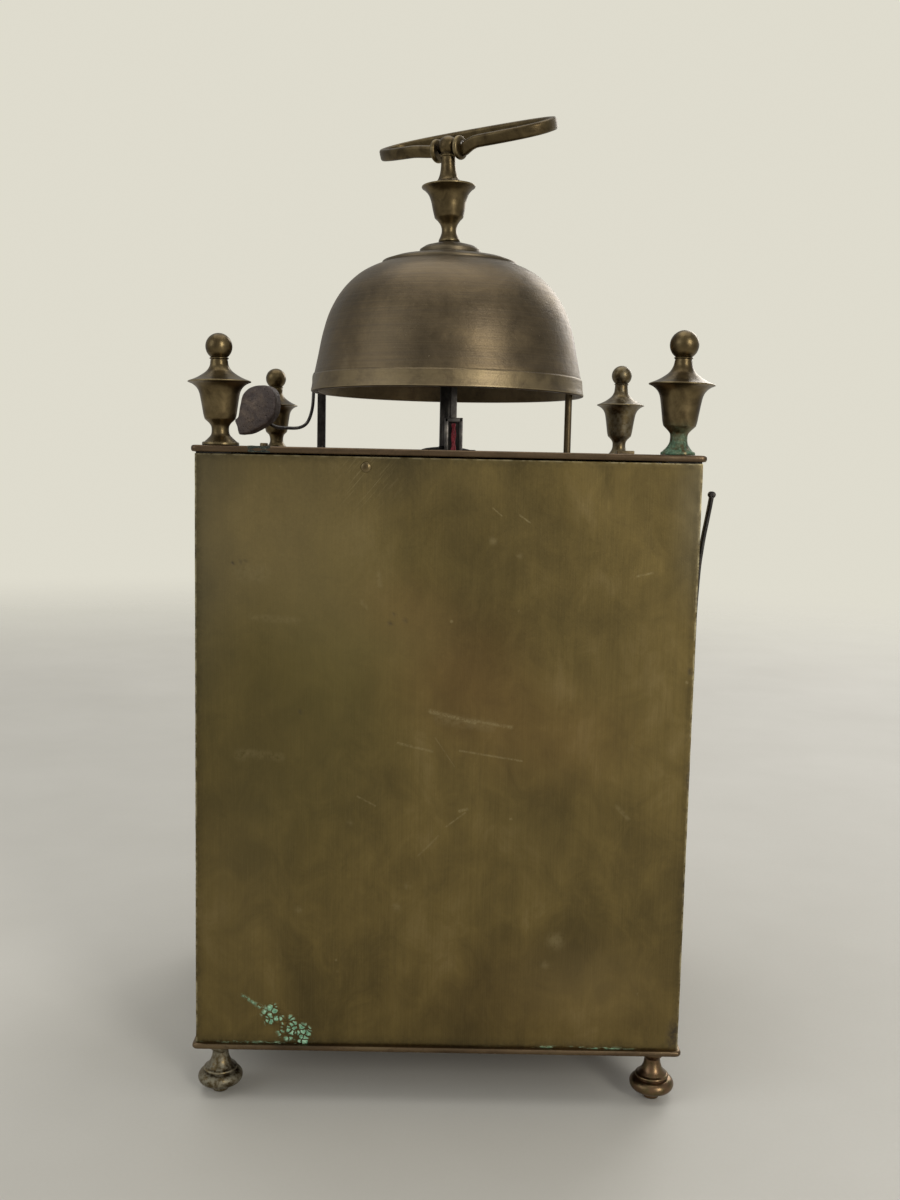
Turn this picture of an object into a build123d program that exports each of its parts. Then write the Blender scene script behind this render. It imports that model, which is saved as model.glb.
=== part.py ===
from build123d import *
from math import cos, sin, pi, radians, atan2, hypot, degrees
import os

# Brass lantern clock with a bell on top, four turned finials, four turned feet,
# an hour hammer outside the bell, an alarm hammer inside it and a spring movement.
# Millimetres. +Z up, dial towards -Y, plain back panel towards +Y.
# The origin is on the table, under the middle of the case.

os.makedirs("parts", exist_ok=True)

# ---------------------------------------------------------------- driving sizes
case_w = 128.0          # case width, X
case_d = 115.0          # case depth, Y
case_h = 155.3          # clear height between the floor plate and the top plate
foot_h = 14.4           # table to the underside of the floor plate
floor_t = 1.5           # floor plate thickness
top_t = 1.7             # top plate thickness
lip = 1.0               # how far both plates stand out past the case
gap_top = 0.4           # dark joint between the panels and the top plate
sheet_t = 1.0           # back panel thickness
front_t = 1.2           # dial front thickness
corner_x = 58.45        # finials, corner posts and feet stand here
corner_y = 51.95

F = foot_h + floor_t            # top face of the floor plate
TU = F + case_h + 0.3           # underside of the top plate
ZT = TU + top_t                 # top face of the top plate
XC = case_w / 2
YC = case_d / 2

bell_x = 0.75           # bell axis
bell_lift = 16.9        # bell rim above the top plate
bell_wall = 1.8

arb_z = F + 94.5        # centre arbor height
plate_f = -35.0         # inner face of the movement's front plate
plate_b = -7.0          # inner face of the movement's back plate
plate_t = 2.0
mz0, mz1 = F + 42.5, F + 142.5  # movement plates, bottom and top
barrel_x, barrel_z = 21.0, arb_z - 12.0


def polar(r, deg, cx=0.0, cz=0.0):
    return (cx + r * cos(radians(deg)), cz + r * sin(radians(deg)))


def tooth_ring(n, r, m, phase, cx, cz, kind="wheel"):
    """Outline of a clock gear: n teeth on pitch radius r, one tooth centred on the angle phase."""
    add, ded, wr, wt = (0.80, 1.25, 0.50, 0.16) if kind == "wheel" else (0.55, 1.15, 0.30, 0.26)
    p = 2 * pi / n
    pts = []
    for k in range(n):
        a = phase + k * p
        for da, rr in ((-wr * p / 2, r - ded * m), (-wt * p / 2, r + add * m),
                       (wt * p / 2, r + add * m), (wr * p / 2, r - ded * m)):
            pts.append((cx + rr * cos(a + da), cz + rr * sin(a + da)))
    return pts


def towards(a, b):
    """Direction from point a to point b, in radians."""
    return atan2(b[1] - a[1], b[0] - a[0])


def leaf_phase(n, wheel, pinion):
    """Phase that puts a gap of the pinion where a tooth of the wheel points."""
    return towards(pinion, wheel) + pi / n


def XZ(y):
    """Drawing plane across the clock at depth y, seen from the dial side."""
    return Plane.XZ.offset(-y)


# ---------------------------------------------------------------- case plates
with BuildPart() as bottom_plate:
    with BuildSketch(Plane.XY.offset(foot_h)):
        RectangleRounded(case_w + 2 * lip, case_d + 2 * lip, 1.2)
        with Locations((corner_x, corner_y), (-corner_x, corner_y), (corner_x, -corner_y), (-corner_x, -corner_y)):
            Circle(1.6, mode=Mode.SUBTRACT)
    extrude(amount=floor_t)
bottom_plate.part.label = "bottom_plate"

pend_x, pend_y = -1.3, 11.0      # silk suspension and pendulum
ham_x, ham_y = 40.0, -20.0       # upright arbor of the hour hammer
al_x, al_y = -35.4, 0.0          # upright arbor of the alarm hammer
pin_x, pin_y = 61.95, -46.2      # side door pins

with BuildPart() as top_plate:
    with BuildSketch(Plane.XY.offset(TU)):
        RectangleRounded(case_w + 2 * lip, case_d + 2 * lip, 1.6)
        with Locations((corner_x, corner_y), (-corner_x, corner_y), (corner_x, -corner_y), (-corner_x, -corner_y)):
            Circle(1.6, mode=Mode.SUBTRACT)
        with Locations((bell_x, 0)):
            Circle(1.95, mode=Mode.SUBTRACT)
        with Locations((ham_x, ham_y)):
            Circle(1.5, mode=Mode.SUBTRACT)
        with Locations((al_x, al_y)):
            Circle(1.12, mode=Mode.SUBTRACT)
        with Locations((pend_x, pend_y)):
            Rectangle(5.0, 3.0, mode=Mode.SUBTRACT)
        with Locations((pin_x, pin_y), (-pin_x, pin_y)):
            Circle(0.95, mode=Mode.SUBTRACT)
    extrude(amount=top_t)
    with BuildSketch(Plane.XZ.offset(-YC + sheet_t + 0.2)):
        with Locations((20.9, TU - 3.8)):
            Rectangle(9.0, 7.7)
        with Locations((20.9, F + 152.6)):
            Circle(0.82, mode=Mode.SUBTRACT)
    extrude(amount=1.6)
top_plate.part.label = "top_plate"

# four square corner posts that carry both plates; finials and feet screw into them.
# The post behind the repeat lever is slotted for the lever and holds its pivot pin.
post_x0, post_x1 = 55.0, 63.9
post_yf = (-case_d / 2 + front_t, -48.3)
post_yb = (48.5, case_d / 2 - sheet_t)
rep_y0, rep_y1 = 49.2, 51.6      # width of the repeat lever
rep_px, rep_pz = -59.6, F + 99.5 # repeat lever pivot
with BuildPart() as corner_posts:
    with BuildSketch(Plane.XY.offset(F)):
        for sx in (1, -1):
            for y0, y1 in (post_yf, post_yb):
                with Locations((sx * (post_x0 + post_x1) / 2, (y0 + y1) / 2)):
                    Rectangle(post_x1 - post_x0, y1 - y0)
    extrude(amount=TU - F)
    for z, up in ((F - 1, 12.0), (TU - 11.0, 12.0)):
        with BuildSketch(Plane.XY.offset(z)):
            with Locations((corner_x, corner_y), (-corner_x, corner_y), (corner_x, -corner_y), (-corner_x, -corner_y)):
                Circle(1.55)
        extrude(amount=up, mode=Mode.SUBTRACT)
    with BuildSketch(Plane.XY.offset(rep_pz - 6.5)):
        with Locations(((-post_x0 - post_x1) / 2, 48.4 + 1.9)):
            Rectangle(post_x1 - post_x0 + 2, 4.0)
    extrude(amount=13.0, mode=Mode.SUBTRACT)
    with BuildSketch(XZ(48.9)):
        with Locations((rep_px, rep_pz)):
            Circle(0.8)
    extrude(amount=-6.0)
corner_posts.part.label = "corner_posts"

with BuildPart() as back_panel:
    with BuildSketch(XZ(YC)):
        with Locations((0, F + (case_h - gap_top + 0.3) / 2)):
            Rectangle(case_w, case_h - gap_top + 0.3)
        with Locations((20.9, F + 152.6)):
            Circle(0.85, mode=Mode.SUBTRACT)
    extrude(amount=sheet_t)
back_panel.part.label = "back_panel"

# small slotted screw near the top edge of the back panel, into a tab inside the case
with BuildPart() as back_panel_screw:
    with BuildSketch(Plane((20.9, YC + 0.75, F + 152.6), x_dir=(1, 0, 0), z_dir=(0, -1, 0))):
        Circle(1.35)
    extrude(amount=0.75)
    with BuildSketch(Plane((20.9, YC, F + 152.6), x_dir=(1, 0, 0), z_dir=(0, -1, 0))):
        Circle(0.8)
    extrude(amount=4.0)
    fillet(back_panel_screw.edges().filter_by(GeomType.CIRCLE).group_by(Axis.Y)[-1], 0.3)
    with BuildSketch(Plane((20.9, YC + 0.76, F + 152.6), x_dir=(1, 0, 0), z_dir=(0, -1, 0))):
        Rectangle(3.2, 0.35, rotation=35)
    extrude(amount=0.3, mode=Mode.SUBTRACT)
back_panel_screw.part.label = "back_panel_screw"

dial_z = arb_z
with BuildPart() as front_plate:
    with BuildSketch(XZ(-YC + front_t)):
        with Locations((0, F + (case_h - gap_top + 0.3) / 2)):
            Rectangle(case_w, case_h - gap_top + 0.3)
        with Locations((0, dial_z)):
            Circle(44.0, mode=Mode.SUBTRACT)
    extrude(amount=front_t)
front_plate.part.label = "front_plate"


# ---------------------------------------------------------------- finials and feet
def finial_points(total, flange_h, flange_r, ball_r, base_r, stem_r=2.2):
    """Half outline of a turned urn finial, from the top of its base disc up to the ball."""
    k = flange_h / 17.8
    j = (total - flange_h) / 13.7
    c = flange_r / 8.4
    low = [(base_r, 0.45), (base_r * 0.93, 0.95), (base_r * 0.72, 1.9), (stem_r * 1.08, 3.0),
           (stem_r, 4.1), (stem_r * 1.05, 5.4), (3.0 * c, 6.3), (4.1 * c, 7.35), (4.38 * c, 8.4),
           (4.76 * c, 10.9), (5.14 * c, 13.3), (5.5 * c, 14.95), (6.1 * c, 16.1), (7.2 * c, 17.1),
           (flange_r, 17.65)]
    low = [(r, 0.45 + (z - 0.45) * (flange_h - 0.15 - 0.45) / (17.65 - 0.45)) for r, z in low]
    z0 = flange_h
    cb = total - ball_r
    up = [(flange_r, z0 + 0.15), (6.35 * c, z0 + 0.95 * j), (4.6 * c, z0 + 2.0 * j), (3.3 * c, z0 + 3.1 * j),
          (2.5 * c, z0 + 4.5 * j), (2.2, z0 + 5.8 * j)]
    return low, up, cb


def lean_plane(x, y, z, lean_deg, az_deg):
    """Upright drawing plane through (x, y, z) whose Y axis leans lean_deg towards the compass angle az_deg."""
    l, a = radians(lean_deg), radians(az_deg)
    axis = Vector(sin(l) * cos(a), sin(l) * sin(a), cos(l))
    xd = Vector(cos(l) * cos(a), cos(l) * sin(a), -sin(l))
    return Plane(origin=(x, y, z), x_dir=xd, z_dir=xd.cross(axis)), Axis((x, y, z), tuple(axis))


def build_finial(sx, sy, total, flange_h, flange_r, ball_r, base_r, lean, az):
    low, up, cb = finial_points(total, flange_h, flange_r, ball_r, base_r)
    x, y = sx * corner_x, sy * corner_y
    pl, ax = lean_plane(x, y, ZT, lean, az)
    neck_z = cb - (ball_r ** 2 - 2.05 ** 2) ** 0.5
    with BuildPart() as fin:
        with BuildSketch(pl):
            with BuildLine():
                Polyline((0, 0.45), *low[:3])
                Spline(*low[2:7])
                Polyline(low[6], low[7])
                Spline(*low[7:12])
                Spline(*low[11:])
                Line(low[-1], up[0])
                Spline(*up, (2.1, neck_z - 0.55))
                Line((2.1, neck_z - 0.55), (2.45, neck_z - 0.3))
                Line((2.45, neck_z - 0.3), (2.05, neck_z))
                ThreePointArc((2.05, neck_z), (ball_r, cb), (0, cb + ball_r))
                Line((0, cb + ball_r), (0, 0.45))
            make_face()
        revolve(axis=ax)
        with BuildSketch(Plane.XY.offset(ZT)):
            with Locations((x, y)):
                Circle(base_r + 0.2)
        extrude(amount=0.9)
        with BuildSketch(Plane.XY.offset(ZT - 11.0)):
            with Locations((x, y)):
                Circle(1.5)
        extrude(amount=11.5)
    return fin.part


finial_back_left = build_finial(1, 1, 28.2, 16.1, 7.95, 3.37, 4.5, 1.0, 10)
finial_back_left.label = "finial_back_left"
finial_back_right = build_finial(-1, 1, 31.5, 17.9, 8.4, 3.68, 4.2, 1.2, 175)
finial_back_right.label = "finial_back_right"
finial_front_left = build_finial(1, -1, 27.6, 15.2, 7.2, 3.38, 4.2, 0.8, 5)
finial_front_left.label = "finial_front_left"
finial_front_right = build_finial(-1, -1, 31.1, 17.8, 8.0, 3.36, 4.2, 0.3, 180)
finial_front_right.label = "finial_front_right"

# turned feet: tip, fat round disc, ridge ring, hollow cone to a thin neck, flare under the floor plate
foot_spots = [(1, 1), (-1, 1), (1, -1), (-1, -1)]
with BuildPart() as feet:
    for sx, sy in foot_spots:
        x, y = sx * corner_x, sy * corner_y
        pl, ax = lean_plane(x, y, 0, 0.0, 0)
        with BuildSketch(pl):
            with BuildLine():
                Line((0, 0), (1.75, 0))
                ThreePointArc((1.75, 0), (2.1, 0.35), (2.15, 0.8))
                Line((2.15, 0.8), (2.0, 2.3))
                Line((2.0, 2.3), (4.2, 2.4))
                ThreePointArc((4.2, 2.4), (5.95, 4.15), (4.2, 5.9))
                Line((4.2, 5.9), (4.15, 6.1))
                ThreePointArc((4.15, 6.1), (4.45, 6.5), (4.15, 6.9))
                Line((4.15, 6.9), (3.9, 7.0))
                Spline((3.9, 7.0), (2.9, 8.2), (2.25, 9.8), (2.1, 11.2))
                Line((2.1, 11.2), (2.9, 12.3))
                Line((2.9, 12.3), (3.6, 12.8))
                Line((3.6, 12.8), (3.6, foot_h))
                Line((3.6, foot_h), (1.5, foot_h))
                Line((1.5, foot_h), (1.5, foot_h + 10.5))
                Line((1.5, foot_h + 10.5), (0, foot_h + 10.5))
                Line((0, foot_h + 10.5), (0, 0))
            make_face()
        revolve(axis=ax)
feet.part.label = "feet"

# ---------------------------------------------------------------- bell stack
bell_ax = Axis((bell_x, 0, ZT), (0, 0, 1))
bell_pl = Plane(origin=(bell_x, 0, ZT), x_dir=(1, 0, 0), z_dir=(0, -1, 0))

with BuildPart() as bell_pillar:
    with BuildSketch(bell_pl):
        with BuildLine():
            Polyline((0, -2.6), (3.0, -2.6), (3.0, -top_t), (1.9, -top_t), (1.9, 0), (8.0, 0), (8.0, 0.5),
                     (6.6, 1.1), (4.2, 1.5), (2.1, 1.7), (2.1, 53.6), (1.2, 53.6), (1.2, 64.5), (0, 64.5), (0, -2.6))
        make_face()
    revolve(axis=bell_ax)
bell_pillar.part.label = "bell_pillar"

bell_out = [(39.35, 22.3), (38.3, 27.0), (36.87, 33.9), (34.83, 40.3), (31.4, 46.2), (26.9, 50.7), (23.2, 52.9), (19.9, 54.3)]
bell_in = [(37.4, 22.3), (36.5, 27.0), (35.07, 33.4), (33.0, 39.3), (29.7, 44.7), (25.3, 48.9), (19.8, 51.8), (12.0, 53.4)]
with BuildPart() as bell:
    with BuildSketch(bell_pl):
        with BuildLine():
            Line((38.2, bell_lift), (40.2, bell_lift))
            Line((40.2, bell_lift), (40.4, bell_lift + 0.5))
            Spline((40.4, bell_lift + 0.5), (40.0, 18.9), (39.72, 21.6))
            Line((39.72, 21.6), (39.35, 21.8))
            Line((39.35, 21.8), (39.35, 22.3))
            Spline(*bell_out)
            Line((19.9, 54.3), (19.9, 55.0))
            Line((19.9, 55.0), (17.0, 56.0))
            Line((17.0, 56.0), (8.95, 57.5))
            Line((8.95, 57.5), (8.95, 58.9))
            Line((8.95, 58.9), (7.4, 59.9))
            Line((7.4, 59.9), (3.3, 61.0))
            Line((3.3, 61.0), (1.3, 61.0))
            Line((1.3, 61.0), (1.3, 53.62))
            Line((1.3, 53.62), (4.0, 53.62))
            Line((4.0, 53.62), (12.0, 53.4))
            Spline(*reversed(bell_in))
            Line((37.4, 22.3), (38.2, bell_lift))
        make_face()
    revolve(axis=bell_ax)
bell.part.label = "bell"

# urn-shaped nut on top of the bell; it ends in the ball that the handle turns on
ball_c = (1.99, 0.0, ZT + 88.45)
fin_x0 = 1.05
fin_lean = degrees(atan2(ball_c[0] - fin_x0, ball_c[2] - (ZT + 61.0)))
fpl, fax = lean_plane(fin_x0, 0, ZT + 61.0, fin_lean, 0)
ball_h = hypot(ball_c[0] - fin_x0, ball_c[2] - (ZT + 61.0))
ball_r = 2.85

yaw, elev = radians(36.0), radians(22.6)
e1 = Vector(-cos(yaw), sin(yaw), 0)                     # handle pin axis
away = Vector(-sin(yaw), -cos(yaw), 0)
e2 = away * cos(elev) + Vector(0, 0, 1) * sin(elev)     # from the pin to the far bar
e3 = e1.cross(e2)                                       # square to the loop
BC = Vector(*ball_c)
loop_pl = Plane(origin=BC, x_dir=e1, z_dir=e3)
pin_r = 0.9

with BuildPart() as bell_finial:
    with BuildSketch(fpl):
        with BuildLine():
            Line((0, 0.15), (3.1, 0.15))
            Line((3.1, 0.15), (3.15, 0.7))
            Spline((3.15, 0.7), (2.55, 2.0), (2.19, 3.4), (2.45, 5.0), (3.3, 6.3))
            Line((3.3, 6.3), (4.2, 7.2))
            Spline((4.2, 7.2), (4.75, 9.6), (5.15, 11.8), (5.9, 13.8), (6.9, 15.0), (7.86, 15.75))
            Line((7.86, 15.75), (7.8, 16.15))
            Spline((7.8, 16.15), (5.2, 16.6), (3.4, 17.6), (2.55, 19.4), (2.15, 22.0), (2.15, 24.3))
            Line((2.15, 24.3), (2.5, 24.55))
            Line((2.5, 24.55), (2.2, 24.9))
            Line((2.2, 24.9), (2.0, ball_h - 2.03))
            ThreePointArc((2.0, ball_h - 2.03), (ball_r, ball_h), (0, ball_h + ball_r))
            Line((0, ball_h + ball_r), (0, 0.15))
        make_face()
    revolve(axis=fax)
    with BuildSketch(Plane.XY.offset(ZT + 60.9)):
        with Locations((bell_x, 0)):
            Circle(1.3)
    extrude(amount=4.2, mode=Mode.SUBTRACT)
    with BuildSketch(Plane(origin=BC - e1 * 6, x_dir=e2, z_dir=e1)):
        Circle(pin_r + 0.02)
    extrude(amount=12, mode=Mode.SUBTRACT)
bell_finial.part.label = "bell_finial"

with BuildPart() as handle_pin:
    with BuildSketch(Plane(origin=BC - e1 * 5.4, x_dir=e2, z_dir=e1)):
        Circle(pin_r)
    extrude(amount=10.8)
handle_pin.part.label = "handle_pin"

# carrying handle: a flat strap bent into an oblong loop; its two ends are flat eyes beside the ball
loop_a, loop_b, loop_u0 = 29.0, 22.0, -1.0
strap_t, strap_w = 2.3, 3.6


def loop_points(grow, n=40, p=2.6):
    pts = []
    for k in range(n):
        t = 2 * pi * k / n
        c, s = cos(t), sin(t)
        u = (loop_a + grow) * (abs(c) ** (2 / p)) * (1 if c >= 0 else -1)
        v = (loop_b / 2 + grow) * (abs(s) ** (2 / p)) * (1 if s >= 0 else -1)
        pts.append((loop_u0 + u, loop_b / 2 + v))
    return pts


with BuildPart() as handle:
    with BuildSketch(Plane(origin=BC - e3 * (strap_w / 2), x_dir=e1, z_dir=e3)):
        with BuildLine():
            Spline(*loop_points(strap_t / 2), periodic=True)
        make_face()
        with BuildLine():
            Spline(*loop_points(-strap_t / 2), periodic=True)
        make_face(mode=Mode.SUBTRACT)
        Rectangle(8.4, 9.0, mode=Mode.SUBTRACT)
    extrude(amount=strap_w)
    for s in (1, -1):
        with BuildSketch(Plane(origin=BC + e1 * (s * 3.25), x_dir=e2, z_dir=e1 * s)):
            Circle(3.35)
        extrude(amount=1.55)
    with BuildSketch(Plane(origin=BC - e1 * 7, x_dir=e2, z_dir=e1)):
        Circle(pin_r + 0.05)
    extrude(amount=14, mode=Mode.SUBTRACT)
handle.part.label = "handle"

# ---------------------------------------------------------------- dial, bezel and glass
dial_pl = Plane(origin=(0, 0, dial_z), x_dir=(1, 0, 0), z_dir=(0, 0, 1))
dial_ax = Axis((0, 0, dial_z), (0, 1, 0))
yf = -YC + front_t              # back face of the front plate
with BuildPart() as dial:
    with BuildSketch(Plane(origin=(0, 0, dial_z), x_dir=(1, 0, 0), z_dir=(0, 0, 1))):
        with BuildLine():
            Line((3.6, yf + 1.2), (46.0, yf + 1.2))
            Line((46.0, yf + 1.2), (46.0, yf))
            Line((46.0, yf), (43.8, yf))
            ThreePointArc((43.8, yf), (24.0, yf - 0.55), (3.6, yf - 0.72))
            Line((3.6, yf - 0.72), (3.6, yf + 1.2))
        make_face()
    revolve(axis=dial_ax)
    with BuildSketch(XZ(yf + 2)):
        with Locations((barrel_x, barrel_z), (-barrel_x, barrel_z)):
            Circle(3.0)
    extrude(amount=4, mode=Mode.SUBTRACT)
dial.part.label = "dial"

bz_in, bz_out = 44.4, 49.6
hx, hy = -51.75, -YC - 1.45     # bezel hinge pin
with BuildPart() as bezel:
    with BuildSketch(Plane(origin=(0, 0, dial_z), x_dir=(1, 0, 0), z_dir=(0, 0, 1))):
        with BuildLine():
            Polyline((bz_in, -YC - 0.1), (bz_out, -YC - 0.1), (bz_out, -YC - 1.4), (48.6, -YC - 2.6), (47.0, -YC - 3.3),
                     (45.6, -YC - 3.8), (43.6, -YC - 3.8), (43.6, -YC - 3.3), (44.4, -YC - 3.3), (bz_in, -YC - 0.1))
        make_face()
    revolve(axis=dial_ax)
    with BuildSketch(Plane.XY.offset(dial_z - 3.0)):
        with Locations((hx, hy)):
            Circle(1.3)
        with Locations((hx + 1.6, hy + 0.55)):
            Rectangle(3.2, 1.5)
        with Locations((hx, hy)):
            Circle(0.7, mode=Mode.SUBTRACT)
    extrude(amount=6.0)
bezel.part.label = "bezel"

with BuildPart() as dial_glass:
    with BuildSketch(XZ(-YC - 2.55)):
        with Locations((0, dial_z)):
            Circle(44.35)
    extrude(amount=0.7)
dial_glass.part.label = "dial_glass"

with BuildPart() as bezel_hinge:
    with BuildSketch(Plane.XY.offset(dial_z - 8.0)):
        with Locations((hx, hy)):
            Circle(0.65)
    extrude(amount=16.0)
    for z0 in (dial_z - 7.6, dial_z + 3.2):
        with BuildSketch(Plane.XY.offset(z0)):
            with Locations((hx, hy)):
                Circle(1.3)
            with Locations((hx - 2.2, -YC - 0.35)):
                Rectangle(5.0, 0.7)
        extrude(amount=4.4)
bezel_hinge.part.label = "bezel_hinge"


# ---------------------------------------------------------------- side doors
def build_door(s):
    """Sheet door with a rolled front edge round its pin, an inner rim and a turned knob."""
    z0, z1 = F + 0.4, TU - 0.6
    zm = (z0 + z1) / 2
    with BuildPart() as door:
        with BuildSketch(Plane.XY.offset(z0)):
            with Locations((s * 63.1, (pin_y + 48.1) / 2)):
                Rectangle(1.2, 48.1 - pin_y)
            with Locations((s * pin_x, pin_y)):
                Circle(1.75)
            with Locations((s * 62.0, 45.1)):
                Rectangle(1.2, 5.0)
            with Locations((s * pin_x, pin_y)):
                Circle(0.97, mode=Mode.SUBTRACT)
        extrude(amount=z1 - z0)
        with BuildSketch(Plane.YZ.offset(s * 61.4)):
            with Locations((1.0, z0 + 2.5), (1.0, z1 - 2.5)):
                Rectangle(90.0, 5.0)
        extrude(amount=s * 1.2)
        with BuildSketch(Plane(origin=(s * 63.7, 24.0, zm), x_dir=(0, 1, 0), z_dir=(s, 0, 0))):
            Circle(1.1)
        extrude(amount=3.2)
        with BuildSketch(Plane(origin=(s * 66.6, 24.0, zm), x_dir=(0, 1, 0), z_dir=(s, 0, 0))):
            Circle(2.6)
        extrude(amount=2.9)
        fillet(door.edges().filter_by(GeomType.CIRCLE).filter_by(lambda e: abs(e.radius - 2.6) < 0.01), 1.1)
    return door.part


side_door_left = build_door(1)
side_door_left.label = "side_door_left"
side_door_right = build_door(-1)
side_door_right.label = "side_door_right"

# door pins stand 2.2 mm above the top plate; the right one is bent over into a short flat tail
with BuildPart() as door_pins:
    with BuildSketch(Plane.XY.offset(foot_h)):
        with Locations((pin_x, pin_y), (-pin_x, pin_y)):
            Circle(0.9)
    extrude(amount=ZT + 2.3 - foot_h)
    with BuildSketch(Plane.XY.offset(ZT + 0.15)):
        with Locations((pin_x, pin_y)):
            Circle(1.35)
        with Locations((-pin_x + 2.1, pin_y)):
            Rectangle(6.0, 2.2)
    extrude(amount=2.3)
door_pins.part.label = "door_pins"
# the pins pass through the floor plate in clearance holes
with BuildPart() as floor_holes:
    add(bottom_plate.part)
    with BuildSketch(Plane.XY.offset(foot_h - 1)):
        with Locations((pin_x, pin_y), (-pin_x, pin_y)):
            Circle(0.95)
    extrude(amount=floor_t + 2, mode=Mode.SUBTRACT)
bottom_plate_part = floor_holes.part
bottom_plate_part.label = "bottom_plate"

# ---------------------------------------------------------------- movement frame
# arbor centres in the X Z plane
C = (0.0, arb_z)                                 # centre
GB = (-barrel_x, barrel_z)                       # going barrel
SB = (barrel_x, barrel_z)                        # strike barrel
m_gb, n_gb, n_cp = 24.187 * 2 / 84, 72, 12       # going barrel to centre pinion
T3 = (-13.0, arb_z + (19.5 ** 2 - 13.0 ** 2) ** 0.5)         # third arbor, module 0.5, 72 + 6
ES = (pend_x, T3[1] + (17.55 ** 2 - (pend_x + 13.0) ** 2) ** 0.5)  # escape arbor, module 0.45, 72 + 6
AN = (pend_x, F + 137.5)                         # anchor arbor
m_sb, n_sb, n_pp = 0.65, 60, 10                  # strike barrel to pin wheel pinion
PW = (SB[0] + 12.0, SB[1] + (22.75 ** 2 - 12.0 ** 2) ** 0.5)
LW = (PW[0] - 9.0, PW[1] + (15.75 ** 2 - 9.0 ** 2) ** 0.5)   # locking wheel, module 0.45, 64 + 6
FL = (LW[0] - 9.5, LW[1] + (12.4 ** 2 - 9.5 ** 2) ** 0.5)    # fly, module 0.4, 56 + 6
MW = (0.0, arb_z + 14.4)                         # minute wheel stud
CW = (PW[0], PW[1] - 14.0)                       # count wheel stud
AB = (al_x, F + 114.5)                           # alarm barrel
pillars_at = [(47.0, mz0 + 6), (-47.0, mz0 + 6), (47.0, mz1 - 6), (-47.0, mz1 - 6)]
pivot_r, pivot_hole = 0.7, 0.76

with BuildPart() as movement_front_plate:
    with BuildSketch(XZ(plate_f)):
        with Locations((0, (mz0 + mz1) / 2)):
            Rectangle(106, mz1 - mz0)
        with Locations(*pillars_at):
            Circle(1.55, mode=Mode.SUBTRACT)
        with Locations(GB, SB):
            Circle(2.27, mode=Mode.SUBTRACT)
        with Locations(C):
            Circle(1.1, mode=Mode.SUBTRACT)
        with Locations(T3, ES, AN, PW, LW, FL, AB):
            Circle(pivot_hole, mode=Mode.SUBTRACT)
    extrude(amount=plate_t)
    with BuildSketch(XZ(plate_f - 1.0)):
        with Locations(MW):
            Circle(0.9)
    extrude(amount=8.6)
    with BuildSketch(XZ(plate_f - 1.0)):
        with Locations((GB[0] - 9.5, GB[1] + 4.0), (SB[0] + 9.5, SB[1] + 4.0)):
            Circle(0.8)
    extrude(amount=3.4)
movement_front_plate.part.label = "movement_front_plate"

with BuildPart() as movement_back_plate:
    with BuildSketch(XZ(plate_b + plate_t)):
        with Locations((0, (mz0 + mz1) / 2)):
            Rectangle(106, mz1 - mz0)
        with Locations(*pillars_at):
            Circle(1.55, mode=Mode.SUBTRACT)
        with Locations(GB, SB):
            Circle(2.27, mode=Mode.SUBTRACT)
        with Locations(C, T3, ES, LW, FL):
            Circle(pivot_hole, mode=Mode.SUBTRACT)
        with Locations(AN):
            Circle(1.0, mode=Mode.SUBTRACT)
        with Locations(PW, AB):
            Circle(1.08, mode=Mode.SUBTRACT)
    extrude(amount=plate_t)
    with BuildSketch(XZ(-1.2)):
        with Locations(CW):
            Circle(0.9)
    extrude(amount=4.6)
movement_back_plate.part.label = "movement_back_plate"

# four turned pillars with screwed ends through both plates
with BuildPart() as movement_pillars:
    with BuildSketch(XZ(plate_b)):
        with Locations(*pillars_at):
            Circle(2.6)
    extrude(amount=plate_b - plate_f)
    for y0 in (plate_b, plate_b - 6.0, plate_f + 7.5, plate_f + 1.5):
        with BuildSketch(XZ(y0)):
            with Locations(*pillars_at):
                Circle(3.4)
        extrude(amount=1.5)
    with BuildSketch(XZ(plate_b + plate_t + 1.6)):
        with Locations(*pillars_at):
            Circle(1.5)
    extrude(amount=plate_b - plate_f + 2 * plate_t + 3.2)
movement_pillars.part.label = "movement_pillars"

# two rails between the front and back posts carry the movement; each has a lip at the plates
with BuildPart() as seat_rails:
    with BuildSketch(Plane.XY.offset(mz0 - 6.0)):
        with Locations((50.5, 0.1), (-50.5, 0.1)):
            Rectangle(5.0, 96.8)
        with Locations((55.5, -45.9), (-55.5, -45.9), (55.5, 46.1), (-55.5, 46.1)):
            Rectangle(6.0, 4.8)
    extrude(amount=6.0)
seat_rails.part.label = "seat_rails"

# ---------------------------------------------------------------- going barrel and winding
drum_r, drum_in = 17.5, 16.2
core_r = 2.2


def spiral_points(cx, cz, r0, r1, turns, shift, n=22):
    """Points of a flat spiral between two radii."""
    pts = []
    total = int(turns * n)
    for k in range(total + 1):
        a = 2 * pi * k / n
        pts.append((cx + (r0 + (r1 - r0) * k / total + shift) * cos(a), cz + (r0 + (r1 - r0) * k / total + shift) * sin(a)))
    return pts


with BuildPart() as going_barrel:
    with BuildSketch(XZ(-13.0)):
        with Locations(GB):
            Circle(drum_r)
    extrude(amount=17.0)
    with BuildSketch(XZ(-14.2)):
        with Locations(GB):
            Circle(drum_in)
    extrude(amount=14.6, mode=Mode.SUBTRACT)
    with BuildSketch(XZ(-11.2)):
        with BuildLine():
            Polyline(*tooth_ring(n_gb, n_gb * m_gb / 2, m_gb, towards(GB, C), *GB), close=True)
        make_face()
    extrude(amount=1.8)
    with BuildSketch(XZ(-10.0)):
        with Locations(GB):
            Circle(core_r + 0.06)
    extrude(amount=22.0, mode=Mode.SUBTRACT)
going_barrel.part.label = "going_barrel"

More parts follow.
